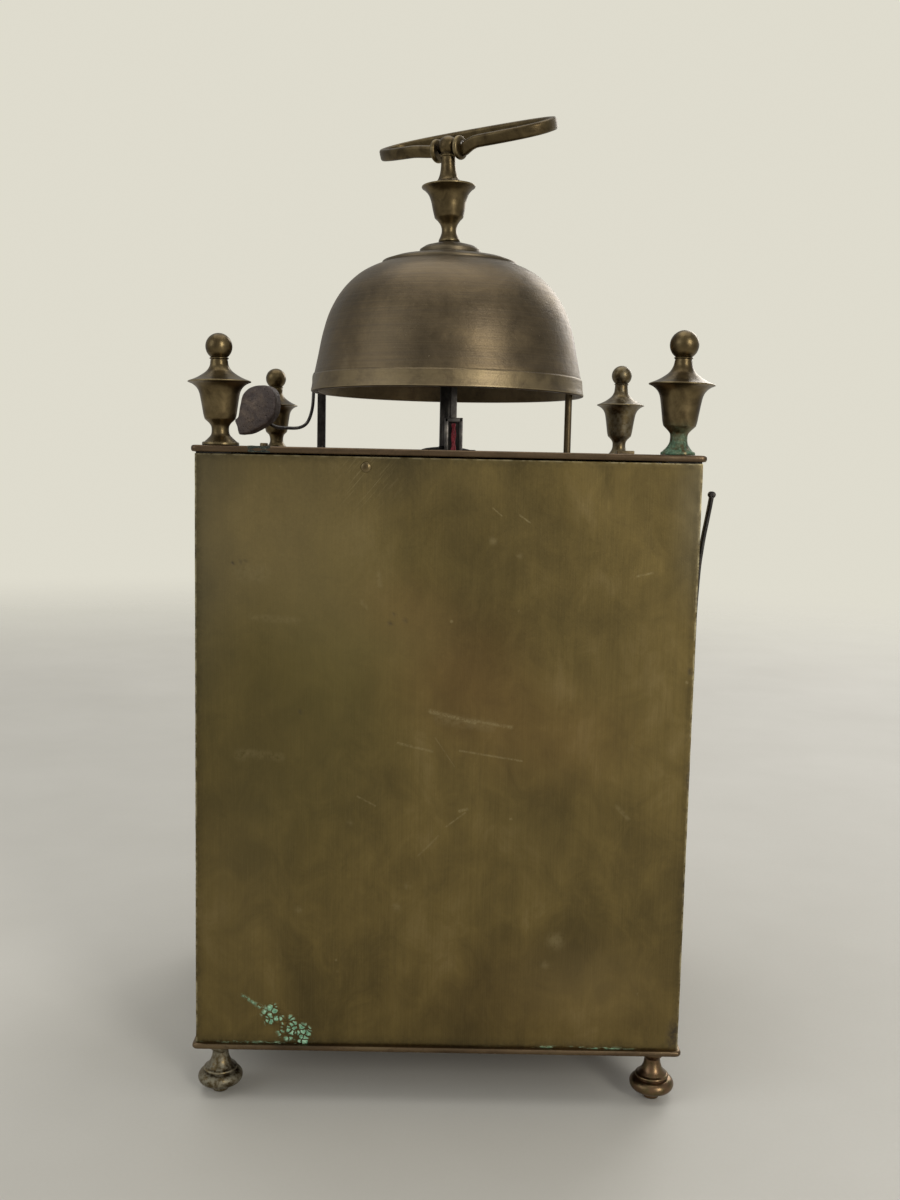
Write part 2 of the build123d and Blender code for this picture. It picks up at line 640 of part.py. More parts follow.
with BuildPart() as strike_barrel:
    with BuildSketch(XZ(-14.6)):
        with Locations(SB):
            Circle(drum_r)
    extrude(amount=15.4)
    with BuildSketch(XZ(-15.6)):
        with Locations(SB):
            Circle(drum_in)
    extrude(amount=13.2, mode=Mode.SUBTRACT)
    with BuildSketch(XZ(-30.0)):
        with BuildLine():
            Polyline(*tooth_ring(n_sb, n_sb * m_sb / 2, m_sb, towards(SB, PW), *SB), close=True)
        make_face()
    extrude(amount=1.8)
    with BuildSketch(XZ(-10.0)):
        with Locations(SB):
            Circle(core_r + 0.06)
    extrude(amount=22.5, mode=Mode.SUBTRACT)
strike_barrel.part.label = "strike_barrel"


def ratchet_points(cx, cz, r, n, depth, hand):
    pts = []
    for k in range(n):
        a = 2 * pi * k / n * hand
        b = 2 * pi * (k + 0.93) / n * hand
        pts.append((cx + (r - depth) * cos(a), cz + (r - depth) * sin(a)))
        pts.append((cx + r * cos(b), cz + r * sin(b)))
    return pts


def build_winding(at, hand):
    """Steel arbor: square for the key at the dial, ratchet wheel in front of the plate, fat core in the barrel."""
    with BuildPart() as arb:
        with BuildSketch(XZ(plate_b + plate_t + 0.8)):
            with Locations(at):
                Circle(core_r)
        extrude(amount=45.0)
        with BuildSketch(XZ(-15.8)):
            with Locations(at):
                Circle(4.2)
        extrude(amount=12.0)
        with BuildSketch(XZ(plate_f - plate_t - 0.35)):
            with BuildLine():
                Polyline(*ratchet_points(at[0], at[1], 6.6, 14, 1.1, hand), close=True)
            make_face()
        extrude(amount=1.5)
        with BuildSketch(XZ(-48.0)):
            with Locations(at):
                Rectangle(3.1, 3.1)
        extrude(amount=8.6)
    return arb.part


going_arbor = build_winding(GB, 1)
going_arbor.label = "going_arbor"
strike_arbor = build_winding(SB, -1)
strike_arbor.label = "strike_arbor"


def build_click(at, s):
    """Click on its stud beside the ratchet; its nose stops just short of the ratchet's teeth."""
    px, pz = at[0] + s * 9.5, at[1] + 4.0
    tip = polar(6.95, 100 if s < 0 else 80, at[0], at[1])
    with BuildPart() as click:
        with BuildSketch(XZ(plate_f - plate_t - 0.45)):
            with Locations((px, pz)):
                Circle(1.9)
            with BuildLine():
                Polyline((px - s * 0.6, pz + 1.8), (tip[0] - s * 0.2, tip[1] + 1.6), (tip[0], tip[1] + 0.1),
                         (px - s * 1.2, pz - 0.6), close=True)
            make_face()
            with Locations((px, pz)):
                Circle(0.86, mode=Mode.SUBTRACT)
        extrude(amount=1.3)
    return click.part


going_click = build_click(GB, -1)
going_click.label = "going_click"
strike_click = build_click(SB, 1)
strike_click.label = "strike_click"

# the two coiled mainsprings, each between its arbor core and its drum
with BuildPart() as mainsprings:
    for at in (GB, SB):
        with BuildSketch(XZ(-15.8)):
            with BuildLine():
                Polyline(*spiral_points(at[0], at[1], 10.2, 15.2, 3.0, 0.35), *reversed(spiral_points(at[0], at[1], 10.2, 15.2, 3.0, -0.35)), close=True)
            make_face()
        extrude(amount=11.6)
mainsprings.part.label = "mainsprings"

# ---------------------------------------------------------------- going train
with BuildPart() as centre_wheel:
    with BuildSketch(XZ(-8.6)):
        with BuildLine():
            Polyline(*tooth_ring(72, 18.0, 0.5, towards(C, T3), *C), close=True)
        make_face()
        with Locations(C):
            with PolarLocations(10.4, 5, 20):
                Circle(3.9, mode=Mode.SUBTRACT)
    extrude(amount=1.1)
    with BuildSketch(XZ(plate_b + 1.4)):
        with Locations(C):
            Circle(pivot_r)
    extrude(amount=1.6)
    with BuildSketch(XZ(plate_b - 0.15)):
        with Locations(C):
            Circle(1.3)
    extrude(amount=27.6)
    with BuildSketch(XZ(plate_f + 1.0)):
        with Locations(C):
            Circle(1.0)
    extrude(amount=25.6)
    with BuildSketch(XZ(-10.2)):
        with BuildLine():
            Polyline(*tooth_ring(n_cp, n_cp * m_gb / 2, m_gb, leaf_phase(n_cp, GB, C), *C, kind="pinion"), close=True)
        make_face()
    extrude(amount=4.0)
centre_wheel.part.label = "centre_wheel"


def build_wheel(at, n, r, m, phase, y_wheel, t_wheel, pn, pr, pm, pphase, y_pin, l_pin, y0, y1, spokes, hub):
    """Wheel, pinion and arbor riveted into one: pivots at both ends."""
    with BuildPart() as w:
        with BuildSketch(XZ(y_wheel)):
            with BuildLine():
                Polyline(*tooth_ring(n, r, m, phase, *at), close=True)
            make_face()
            with Locations(at):
                with PolarLocations(r * 0.58, spokes, 15):
                    Circle(r * 0.22, mode=Mode.SUBTRACT)
        extrude(amount=t_wheel)
        with BuildSketch(XZ(y_wheel + 0.6)):
            with Locations(at):
                Circle(hub)
        extrude(amount=t_wheel + 1.2)
        with BuildSketch(XZ(y_pin)):
            with BuildLine():
                Polyline(*tooth_ring(pn, pr, pm, pphase, *at, kind="pinion"), close=True)
            make_face()
        extrude(amount=l_pin)
        with BuildSketch(XZ(y0)):
            with Locations(at):
                Circle(min(1.0, pr - 1.15 * pm))
        extrude(amount=y0 - y1)
        with BuildSketch(XZ(y0 + 1.6)):
            with Locations(at):
                Circle(pivot_r)
        extrude(amount=y0 - y1 + 3.2)
    return w.part


third_wheel = build_wheel(T3, 72, 16.2, 0.45, towards(T3, ES), -32.9, 1.0,
                          6, 1.5, 0.5, leaf_phase(6, C, T3), -7.9, 2.4, plate_b - 0.2, plate_f + 0.2, 5, 2.2)
third_wheel.label = "third_wheel"

with BuildPart() as escape_wheel:
    esc_pts = []
    for k in range(35):
        a0 = 2 * pi * k / 35
        esc_pts += [polar(8.7, degrees(a0), *ES), polar(10.6, degrees(a0 + 0.075), *ES),
                    polar(10.6, degrees(a0 + 0.095), *ES), polar(8.7, degrees(a0 + 0.125), *ES)]
    with BuildSketch(XZ(-15.6)):
        with BuildLine():
            Polyline(*esc_pts, close=True)
        make_face()
        with Locations(ES):
            with PolarLocations(5.4, 4, 45):
                Circle(2.3, mode=Mode.SUBTRACT)
    extrude(amount=0.9)
    with BuildSketch(XZ(-14.8)):
        with Locations(ES):
            Circle(1.9)
    extrude(amount=2.6)
    with BuildSketch(XZ(plate_b - 0.2)):
        with Locations(ES):
            Circle(0.8)
    extrude(amount=27.6)
    with BuildSketch(XZ(-31.6)):
        with BuildLine():
            Polyline(*tooth_ring(6, 1.35, 0.45, leaf_phase(6, T3, ES), *ES, kind="pinion"), close=True)
        make_face()
    extrude(amount=2.9)
    with BuildSketch(XZ(plate_b + 1.4)):
        with Locations(ES):
            Circle(pivot_r)
    extrude(amount=30.8)
escape_wheel.part.label = "escape_wheel"

# anchor, its arbor and the crutch whose fork reaches round the pendulum rod
fork_z = F + 100.5
with BuildPart() as anchor:
    with BuildSketch(XZ(-15.2)):
        with Locations(AN):
            Circle(2.3)
        for s in (1, -1):
            tip = polar(12.1, 90 - s * 39, *ES)
            tip2 = polar(14.2, 90 - s * 44, *ES)
            with BuildLine():
                Polyline((AN[0] - s * 0.6, AN[1] + 2.1), (tip2[0] + s * 0.2, tip2[1] + 1.2), tip2, tip, (tip[0] - s * 0.9, tip[1] + 1.4),
                         (AN[0] + s * 1.0, AN[1] - 1.9), close=True)
            make_face()
    extrude(amount=1.6)
    with BuildSketch(XZ(plate_b + plate_t + 5.6)):
        with Locations(AN):
            Circle(0.92)
    extrude(amount=35.4)
    with BuildSketch(XZ(plate_b + plate_t + 5.4)):
        with Locations(AN):
            Circle(2.2)
        with Locations((AN[0], (AN[1] + fork_z) / 2)):
            Rectangle(1.5, AN[1] - fork_z)
        with Locations((AN[0], fork_z)):
            Rectangle(5.6, 2.4)
    extrude(amount=1.4)
    with BuildSketch(Plane.XY.offset(fork_z - 1.2)):
        with Locations((AN[0] - 2.15, 7.0), (AN[0] + 2.15, 7.0)):
            Rectangle(1.3, 14.0)
    extrude(amount=2.4)
    with BuildSketch(XZ(plate_f + 0.4)):
        with Locations(AN):
            Circle(pivot_r)
    extrude(amount=1.8)
anchor.part.label = "anchor"

# ---------------------------------------------------------------- pendulum on a silk thread
silk_top = ZT + 8.3
hang_z = ZT + 8.7                # the thread bends here
with BuildPart() as suspension_bracket:
    with BuildSketch(Plane.XY.offset(ZT)):
        with Locations((pend_x - 2.1, pend_y - 0.2), (pend_x + 2.1, pend_y - 0.2)):
            Rectangle(1.05, 2.6)
    extrude(amount=9.9)
    with BuildSketch(Plane.XY.offset(ZT)):
        with Locations((pend_x - 4.5, pend_y - 0.2), (pend_x + 4.5, pend_y - 0.2)):
            Rectangle(4.0, 2.6)
    extrude(amount=0.8)
    with BuildSketch(Plane.XY.offset(ZT + 8.6)):
        with Locations((pend_x, pend_y - 0.2)):
            Rectangle(5.2, 2.6)
    extrude(amount=1.3)
    # web behind the thread, and the upright strip above it that hangs in the bell
    with BuildSketch(Plane.XY.offset(ZT)):
        with Locations((pend_x, pend_y - 1.3)):
            Rectangle(4.2, 0.4)
    extrude(amount=9.0)
    with BuildSketch(Plane.XY.offset(ZT + 9.5)):
        with Locations((pend_x, pend_y - 0.2)):
            Rectangle(1.6, 1.0)
    extrude(amount=10.5)
suspension_bracket.part.label = "suspension_bracket"

with BuildPart() as silk_thread:
    with BuildSketch(Plane.XY.offset(F + 144.0)):
        with Locations((pend_x, pend_y)):
            RectangleRounded(1.6, 0.9, 0.3)
    extrude(amount=silk_top - (F + 144.0))
silk_thread.part.label = "silk_thread"

bob_z = F + 38.0
with BuildPart() as pendulum_rod:
    with BuildSketch(Plane.XY.offset(bob_z - 17.5)):
        with Locations((pend_x, pend_y)):
            Circle(0.8)
    extrude(amount=F + 141.0 - bob_z + 17.5)
    with BuildSketch(Plane.XY.offset(F + 140.0)):
        with Locations((pend_x, pend_y)):
            RectangleRounded(3.2, 1.8, 0.4)
    extrude(amount=4.0)
pendulum_rod.part.label = "pendulum_rod"

with BuildPart() as pendulum_bob:
    with BuildSketch(Plane(origin=(pend_x, pend_y, bob_z), x_dir=(1, 0, 0), z_dir=(0, 0, 1))):
        with BuildLine():
            ThreePointArc((0, -4.0), (7.5, -3.0), (13.0, -0.6))
            Line((13.0, -0.6), (13.0, 0.6))
            ThreePointArc((13.0, 0.6), (7.5, 3.0), (0, 4.0))
            Line((0, 4.0), (0, -4.0))
        make_face()
    revolve(axis=Axis((pend_x, pend_y, bob_z), (0, 1, 0)))
    with BuildSketch(Plane.XY.offset(bob_z - 20)):
        with Locations((pend_x, pend_y)):
            Circle(0.85)
    extrude(amount=40, mode=Mode.SUBTRACT)
pendulum_bob.part.label = "pendulum_bob"

with BuildPart() as rating_nut:
    with BuildSketch(Plane.XY.offset(bob_z - 15.6)):
        with Locations((pend_x, pend_y)):
            RegularPolygon(2.6, 8)
            Circle(0.85, mode=Mode.SUBTRACT)
    extrude(amount=2.2)
rating_nut.part.label = "rating_nut"

# ---------------------------------------------------------------- motion work and hands
with BuildPart() as cannon_pinion:
    with BuildSketch(XZ(-37.4)):
        with BuildLine():
            Polyline(*tooth_ring(12, 3.6, 0.6, leaf_phase(12, MW, C), *C, kind="pinion"), close=True)
        make_face()
    extrude(amount=3.4)
    with BuildSketch(XZ(-37.4)):
        with Locations(C):
            Circle(1.8)
    extrude(amount=22.2)
    with BuildSketch(XZ(-37.0)):
        with Locations(C):
            Circle(1.06)
    extrude(amount=24.0, mode=Mode.SUBTRACT)
cannon_pinion.part.label = "cannon_pinion"

with BuildPart() as minute_wheel:
    with BuildSketch(XZ(-38.2)):
        with BuildLine():
            Polyline(*tooth_ring(36, 10.8, 0.6, towards(MW, C), *MW), close=True)
        make_face()
    extrude(amount=1.2)
    with BuildSketch(XZ(-39.4)):
        with BuildLine():
            Polyline(*tooth_ring(10, 2.88, 0.576, leaf_phase(10, C, MW), *MW, kind="pinion"), close=True)
        make_face()
    extrude(amount=4.2)
    with BuildSketch(XZ(-38.0)):
        with Locations(MW):
            Circle(0.96)
    extrude(amount=6.4, mode=Mode.SUBTRACT)
minute_wheel.part.label = "minute_wheel"

with BuildPart() as hour_wheel:
    with BuildSketch(XZ(-41.6)):
        with BuildLine():
            Polyline(*tooth_ring(40, 11.52, 0.576, towards(C, MW), *C), close=True)
        make_face()
    extrude(amount=1.4)
    with BuildSketch(XZ(-41.2)):
        with Locations(C):
            Circle(2.6)
    extrude(amount=17.5)
    with BuildSketch(XZ(-41.0)):
        with Locations(C):
            Circle(1.92)
    extrude(amount=18.0, mode=Mode.SUBTRACT)
hour_wheel.part.label = "hour_wheel"

yd = yf - 0.72                   # dial surface at its middle

with BuildPart() as minute_hand:
    with BuildSketch(XZ(yd - 2.05)):
        with Locations(C):
            Circle(3.0)
        with BuildLine():
            Polyline((C[0] - 0.9, C[1] + 2.0), (C[0] - 0.55, C[1] + 24.0), (C[0], C[1] + 37.5), (C[0] + 0.55, C[1] + 24.0),
                     (C[0] + 0.9, C[1] + 2.0), close=True)
        make_face()
        with Locations((C[0], C[1] + 27.0)):
            Circle(2.3)
            Circle(1.3, mode=Mode.SUBTRACT)
        with BuildLine():
            Polyline((C[0] - 0.8, C[1] - 2.0), (C[0] - 1.5, C[1] - 9.0), (C[0] + 1.5, C[1] - 9.0), (C[0] + 0.8, C[1] - 2.0), close=True)
        make_face()
        with Locations(C):
            Circle(1.8, mode=Mode.SUBTRACT)
    extrude(amount=0.35)
minute_hand.part.label = "minute_hand"

hour_dir = (cos(radians(-30)), sin(radians(-30)))   # the hour hand points at four


def along(d, w):
    """Point d along the hour hand and w to its side."""
    return (C[0] + hour_dir[0] * d - hour_dir[1] * w, C[1] + hour_dir[1] * d + hour_dir[0] * w)


with BuildPart() as hour_hand:
    with BuildSketch(XZ(yd - 1.35)):
        with Locations(C):
            Circle(3.9)
        with BuildLine():
            Polyline(along(2.8, 1.2), along(17.0, 0.7), along(25.0, 0.0), along(17.0, -0.7), along(2.8, -1.2), close=True)
        make_face()
        with Locations(along(16.8, 0)):
            Circle(3.0)
            Circle(1.8, mode=Mode.SUBTRACT)
        with Locations(C):
            Circle(2.6, mode=Mode.SUBTRACT)
    extrude(amount=0.35)
hour_hand.part.label = "hour_hand"

with BuildPart() as alarm_hand:
    with BuildSketch(XZ(yd - 0.55)):
        with Locations(C):
            Circle(4.8)
        with BuildLine():
            Polyline((C[0] - 3.6, C[1] - 2.6), (C[0] - 17.5, C[1] - 9.6), (C[0] - 2.2, C[1] - 4.0), close=True)
        make_face()
        with Locations(C):
            Circle(2.75, mode=Mode.SUBTRACT)
    extrude(amount=0.4)
    with BuildSketch(XZ(-47.0)):
        with Locations(C):
            Circle(3.3)
            Circle(2.75, mode=Mode.SUBTRACT)
    extrude(amount=-(yd - 0.55) - 47.0 + 0.2)
    with BuildSketch(XZ(-47.0)):
        with Locations(C):
            Circle(8.0)
            Circle(2.75, mode=Mode.SUBTRACT)
        with Locations((C[0] + 7.4, C[1])):
            Circle(1.6, mode=Mode.SUBTRACT)
    extrude(amount=1.2)
alarm_hand.part.label = "alarm_hand"

# ---------------------------------------------------------------- striking train
with BuildPart() as pin_wheel:
    with BuildSketch(XZ(-10.0)):
        with BuildLine():
            Polyline(*tooth_ring(64, 14.4, 0.45, towards(PW, LW), *PW), close=True)
        make_face()
        with Locations(PW):
            with PolarLocations(7.0, 5, 10):
                Circle(2.7, mode=Mode.SUBTRACT)
    extrude(amount=1.2)
    with BuildSketch(XZ(-11.0)):
        with Locations(PW):
            with PolarLocations(11.6, 13):
                Circle(0.55)
    extrude(amount=3.0)
    with BuildSketch(XZ(-9.2)):
        with Locations(PW):
            Circle(2.4)
    extrude(amount=2.8)
    with BuildSketch(XZ(plate_b + plate_t + 2.8)):
        with Locations(PW):
            Circle(1.0)
    extrude(amount=32.4)
    with BuildSketch(XZ(plate_b + plate_t + 2.8)):
        with BuildLine():
            Polyline(*tooth_ring(10, 2.0, 0.4, leaf_phase(10, CW, PW), *PW, kind="pinion"), close=True)
        make_face()
    extrude(amount=2.3)
    with BuildSketch(XZ(-29.6)):
        with BuildLine():
            Polyline(*tooth_ring(n_pp, n_pp * m_sb / 2, m_sb, leaf_phase(n_pp, SB, PW), *PW, kind="pinion"), close=True)
        make_face()
    extrude(amount=2.8)
    with BuildSketch(XZ(plate_f + 0.4)):
        with Locations(PW):
            Circle(pivot_r)
    extrude(amount=1.8)
pin_wheel.part.label = "pin_wheel"

locking_wheel = build_wheel(LW, 56, 11.2, 0.4, towards(LW, FL), -26.0, 1.0,
                            6, 1.35, 0.45, leaf_phase(6, PW, LW), -9.4, 2.6, plate_b - 0.2, plate_f + 0.2, 4, 2.0)
locking_wheel.label = "locking_wheel"

with BuildPart() as fly:
    with BuildSketch(Plane(origin=(FL[0], -17.8, FL[1]), x_dir=(cos(radians(25)), 0, sin(radians(25))), z_dir=(0, -1, 0))):
        Rectangle(14.8, 0.6)
    extrude(amount=6.6)
    with BuildSketch(XZ(-17.4)):
        with Locations(FL):
            Circle(1.4)
    extrude(amount=7.4)
    with BuildSketch(XZ(-25.0)):
        with BuildLine():
            Polyline(*tooth_ring(6, 1.2, 0.4, leaf_phase(6, LW, FL), *FL, kind="pinion"), close=True)
        make_face()
    extrude(amount=3.0)
    with BuildSketch(XZ(plate_b + 1.4)):
        with Locations(FL):
            Circle(pivot_r)
    extrude(amount=30.8)
fly.part.label = "fly"

# count wheel: one turn in twelve hours, toothed rim and a notched ring on its back
strokes = [1, 2, 3, 4, 5, 6, 7, 8, 9, 10, 11, 12]
with BuildPart() as count_wheel:
    with BuildSketch(XZ(-2.5)):
        with BuildLine():
            Polyline(*tooth_ring(60, 12.0, 0.4, towards(CW, PW), *CW), close=True)
        make_face()
    extrude(amount=1.6)
    with BuildSketch(XZ(-1.5)):
        with Locations(CW):
            Circle(9.8)
            Circle(7.6, mode=Mode.SUBTRACT)
            Circle(2.2)
        s_at = 0
        for n in strokes:
            s_at += n
            with Locations(polar(9.6, 360.0 * s_at / 78.0, *CW)):
                Rectangle(1.6, 0.8, rotation=360.0 * s_at / 78.0, mode=Mode.SUBTRACT)
    extrude(amount=1.2)
    with BuildSketch(XZ(-0.5)):
        with Locations(CW):
            Circle(0.96)
    extrude(amount=4.6, mode=Mode.SUBTRACT)
count_wheel.part.label = "count_wheel"

# ---------------------------------------------------------------- hour hammer
# upright arbor with a tail beside the pin wheel; a wire at its top carries a thick iron head
arb_top = ZT + 25.2
with BuildPart() as hour_hammer_arbor:
    with BuildSketch(Plane.XY.offset(F + 108.5)):
        with Locations((ham_x, ham_y)):
            Circle(1.2)
    extrude(amount=ZT + 1.5 - (F + 108.5))
    with BuildSketch(Plane.XY.offset(ZT + 0.8)):
        with Locations((ham_x, ham_y)):
            Rectangle(2.5, 1.7)
    extrude(amount=arb_top - ZT - 0.8)
    with BuildSketch(Plane.XY.offset(F + 109.0)):
        with Locations((ham_x, ham_y + 2.4)):
            Rectangle(1.6, 4.8)
    extrude(amount=2.2)
    with BuildSketch(Plane.XY.offset(F + 131.4)):
        with Locations((ham_x, ham_y)):
            Circle(2.1)
    extrude(amount=1.2)
hour_hammer_arbor.part.label = "hour_hammer_arbor"

head_c = (57.6, 7.0)             # near face of the hammer head, in plan
head_yaw = -14.0                 # the head's flat faces turn a little away from the bell
head_t = 5.0
hd_pl = Plane(origin=(head_c[0], head_c[1], ZT + 11.3), x_dir=(cos(radians(head_yaw)), sin(radians(head_yaw)), 0),
              z_dir=(sin(radians(head_yaw)), -cos(radians(head_yaw)), 0))
# outline of the face, seen from the dial side
head_pts = [(5.55, -3.4), (4.9, -5.0), (4.15, -7.55), (1.2, -7.1), (-3.4, -4.75), (-4.7, -4.0), (-5.6, -3.0), (-6.7, -1.35), (-7.2, 1.0), (-7.15, 3.1),
            (-6.8, 4.75), (-5.6, 6.35), (-3.85, 6.95), (-1.0, 6.9), (1.2, 6.1), (2.95, 4.35), (3.7, 2.1), (4.15, -0.15), (4.5, -2.4)]
with BuildPart() as hour_hammer_head:
    with BuildSketch(hd_pl):
        with BuildLine():
            Polyline(*head_pts, close=True)
        make_face()
    extrude(amount=head_t)
hour_hammer_head.part.label = "hour_hammer_head"

# wire from the arbor's top down and out to the head: straight runs joined by arcs
wire_pts = [(ham_x + 1.32, ham_y, ZT + 24.0), (ham_x + 2.3, ham_y + 0.5, ZT + 24.0), (ham_x + 2.3, ham_y + 2.2, ZT + 14.0),
            (44.6, -14.6, ZT + 7.2), (49.4, -3.6, ZT + 6.4), (53.4, 5.2, ZT + 7.6)]
with BuildPart() as hour_hammer_wire:
    with BuildLine() as wl:
        FilletPolyline(*wire_pts, radius=[0.9, 5.0, 2.6, 4.0])
    with BuildSketch(Plane(origin=wl.line @ 0, z_dir=wl.line % 0)):
        Circle(0.5)
    sweep()
    add(hour_hammer_head.part, mode=Mode.SUBTRACT)   # the wire ends where it meets the head
hour_hammer_wire.part.label = "hour_hammer_wire"

# brackets screwed to the movement's back plate: one guides the hour hammer, one is the alarm hammer's footstep
with BuildPart() as hammer_cocks:
    with BuildSketch(Plane.XY.offset(F + 128.5)):
        with Locations((ham_x, -15.0)):
            Rectangle(9.0, 16.0)
        with Locations((ham_x, ham_y)):
            Circle(1.27, mode=Mode.SUBTRACT)
    extrude(amount=2.4)
    with BuildSketch(Plane.XY.offset(F + 97.0)):
        with Locations((al_x, -1.2)):
            Rectangle(6.0, 7.6)
    extrude(amount=2.7)
    with BuildSketch(Plane.XY.offset(F + 98.3)):
        with Locations((al_x, al_y)):
            Circle(1.12)
    extrude(amount=2.0, mode=Mode.SUBTRACT)
hammer_cocks.part.label = "hammer_cocks"

# ---------------------------------------------------------------- alarm
with BuildPart() as alarm_barrel:
    with BuildSketch(XZ(-14.0)):
        with Locations(AB):
            Circle(9.0)
    extrude(amount=12.0)
    with BuildSketch(XZ(plate_b + plate_t + 1.4)):
        with Locations(AB):
            Circle(1.0)
    extrude(amount=31.0)
    with BuildSketch(XZ(-3.6)):
        with Locations(AB):
            Circle(11.0)
            with PolarLocations(6.4, 5):
                Circle(2.4, mode=Mode.SUBTRACT)
    extrude(amount=0.9)
    with BuildSketch(XZ(-1.4)):
        with BuildLine():
            cr = []
            for k in range(15):
                a = 24.0 * k
                cr += [polar(11.0, a, *AB), polar(11.0, a + 9.0, *AB), polar(9.9, a + 9.0, *AB), polar(9.9, a + 24.0, *AB)]
            Polyline(*cr, close=True)
        make_face()
        with Locations(AB):
            Circle(9.6, mode=Mode.SUBTRACT)
    extrude(amount=2.4)
    with BuildSketch(XZ(plate_f + 0.4)):
        with Locations(AB):
            Circle(pivot_r)
    extrude(amount=1.8)
alarm_barrel.part.label = "alarm_barrel"

head_x, head_y = al_x + 5.54, al_y + 12.86      # middle of the alarm hammer's head
with BuildPart() as alarm_hammer:
    with BuildSketch(Plane.XY.offset(F + 98.6)):
        with Locations((al_x, al_y)):
            Circle(1.05)
    extrude(amount=ZT + 21.2 - (F + 98.6))
    with BuildSketch(Plane.XY.offset(F + 127.6)):
        with Locations((al_x + 2.0, al_y + 0.9)):
            Rectangle(4.0, 1.4)
    extrude(amount=2.2)
    with BuildSketch(Plane.XY.offset(F + 99.9)):
        with Locations((al_x - 2.0, al_y + 0.9)):
            Rectangle(4.0, 1.4)
    extrude(amount=2.2)
    # short arm inside the bell and a round head at its end
    with BuildSketch(Plane.XY.offset(ZT + 19.6)):
        with Locations(((al_x + head_x) / 2, (al_y + head_y) / 2)):
            Rectangle(1.7, 14.0, rotation=-23.3)
    extrude(amount=1.6)
    with BuildSketch(Plane.XY.offset(ZT + 18.6)):
        with Locations((head_x, head_y)):
            Circle(2.8)
    extrude(amount=5.0)
alarm_hammer.part.label = "alarm_hammer"

# ---------------------------------------------------------------- repeat lever
rep_out = [(-65.4, rep_pz + 2.2), (-65.45, F + 117.0), (-65.7, F + 124.0), (-66.0, F + 129.3), (-66.35, F + 132.6), (-66.85, F + 136.6),
           (-67.6, F + 141.2), (-68.2, F + 145.2), (-68.5, F + 147.0)]
with BuildPart() as repeat_lever:
    with BuildSketch(XZ(rep_y1)):
        with Locations((rep_px, rep_pz)):
            Circle(2.3)
        with BuildLine():
            Polyline((-65.4, rep_pz - 1.2), (rep_px, rep_pz - 1.2), (rep_px, rep_pz + 1.2), (-64.4, rep_pz + 1.2), (-64.4, rep_pz + 2.2),
                     (-65.4, rep_pz + 2.2), close=True)
        make_face()
        with BuildLine():
            Spline(*rep_out)
            Line(rep_out[-1], (rep_out[-1][0] + 0.9, rep_out[-1][1] - 0.5))
            Spline((rep_out[-1][0] + 0.9, rep_out[-1][1] - 0.5), *[(x + 1.0, z) for x, z in rep_out[-2::-1]])
            Line((rep_out[0][0] + 1.0, rep_out[0][1]), rep_out[0])
        make_face()
        with BuildLine():
            Polyline((rep_px, rep_pz - 1.1), (rep_px + 14.0, rep_pz - 3.0), (rep_px + 14.0, rep_pz - 1.4), (rep_px, rep_pz + 1.1), close=True)
        make_face()
        with Locations((-68.0, F + 147.4)):
            Circle(0.9)
        with Locations((rep_px, rep_pz)):
            Circle(0.86, mode=Mode.SUBTRACT)
    extrude(amount=rep_y1 - rep_y0)
repeat_lever.part.label = "repeat_lever"

# ---------------------------------------------------------------- write every piece
pieces = [
    bottom_plate_part, top_plate.part, corner_posts.part, front_plate.part, back_panel.part, back_panel_screw.part,
    finial_back_left, finial_back_right, finial_front_left, finial_front_right, feet.part,
    bell_pillar.part, bell.part, bell_finial.part, handle_pin.part, handle.part,
    dial.part, bezel.part, dial_glass.part, bezel_hinge.part,
    side_door_left, side_door_right, door_pins.part,
    movement_front_plate.part, movement_back_plate.part, movement_pillars.part, seat_rails.part,
    going_barrel.part, strike_barrel.part, going_arbor, strike_arbor, going_click, strike_click, mainsprings.part,
    centre_wheel.part, third_wheel, escape_wheel.part, anchor.part,
    suspension_bracket.part, silk_thread.part, pendulum_rod.part, pendulum_bob.part, rating_nut.part,
    cannon_pinion.part, minute_wheel.part, hour_wheel.part, minute_hand.part, hour_hand.part, alarm_hand.part,
    pin_wheel.part, locking_wheel, fly.part, count_wheel.part,
    hour_hammer_arbor.part, hour_hammer_wire.part, hour_hammer_head.part, hammer_cocks.part,
    alarm_barrel.part, alarm_hammer.part, repeat_lever.part,
]
for piece in pieces:
    export_step(piece, f"parts/{piece.label}.step")
print(len(pieces), "pieces written")
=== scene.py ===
import bpy, bmesh, math
import numpy as np
from mathutils import Vector, Matrix, noise


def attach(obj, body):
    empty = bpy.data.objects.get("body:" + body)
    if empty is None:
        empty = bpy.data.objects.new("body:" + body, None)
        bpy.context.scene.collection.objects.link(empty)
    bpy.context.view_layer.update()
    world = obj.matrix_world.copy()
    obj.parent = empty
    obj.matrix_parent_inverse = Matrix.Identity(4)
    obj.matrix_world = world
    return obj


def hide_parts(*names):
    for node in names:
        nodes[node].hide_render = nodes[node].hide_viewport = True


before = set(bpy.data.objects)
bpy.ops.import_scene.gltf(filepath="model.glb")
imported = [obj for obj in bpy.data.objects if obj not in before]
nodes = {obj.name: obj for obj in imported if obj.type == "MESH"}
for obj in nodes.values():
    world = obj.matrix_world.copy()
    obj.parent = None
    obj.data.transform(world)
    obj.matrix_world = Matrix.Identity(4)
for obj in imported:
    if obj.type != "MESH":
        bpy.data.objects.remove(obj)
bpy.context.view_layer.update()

S = 0.001
SEG = 160

# ------------------------------------------------------------------ sizes shared with the frame, in millimetres
FOOT_H, F, TU, ZT = 14.4, 15.9, 171.5, 173.2
XC, YC = 64.0, 57.5
CX, CY = 58.45, 51.95
ARB_Z = F + 94.5
YF = -YC + 1.2


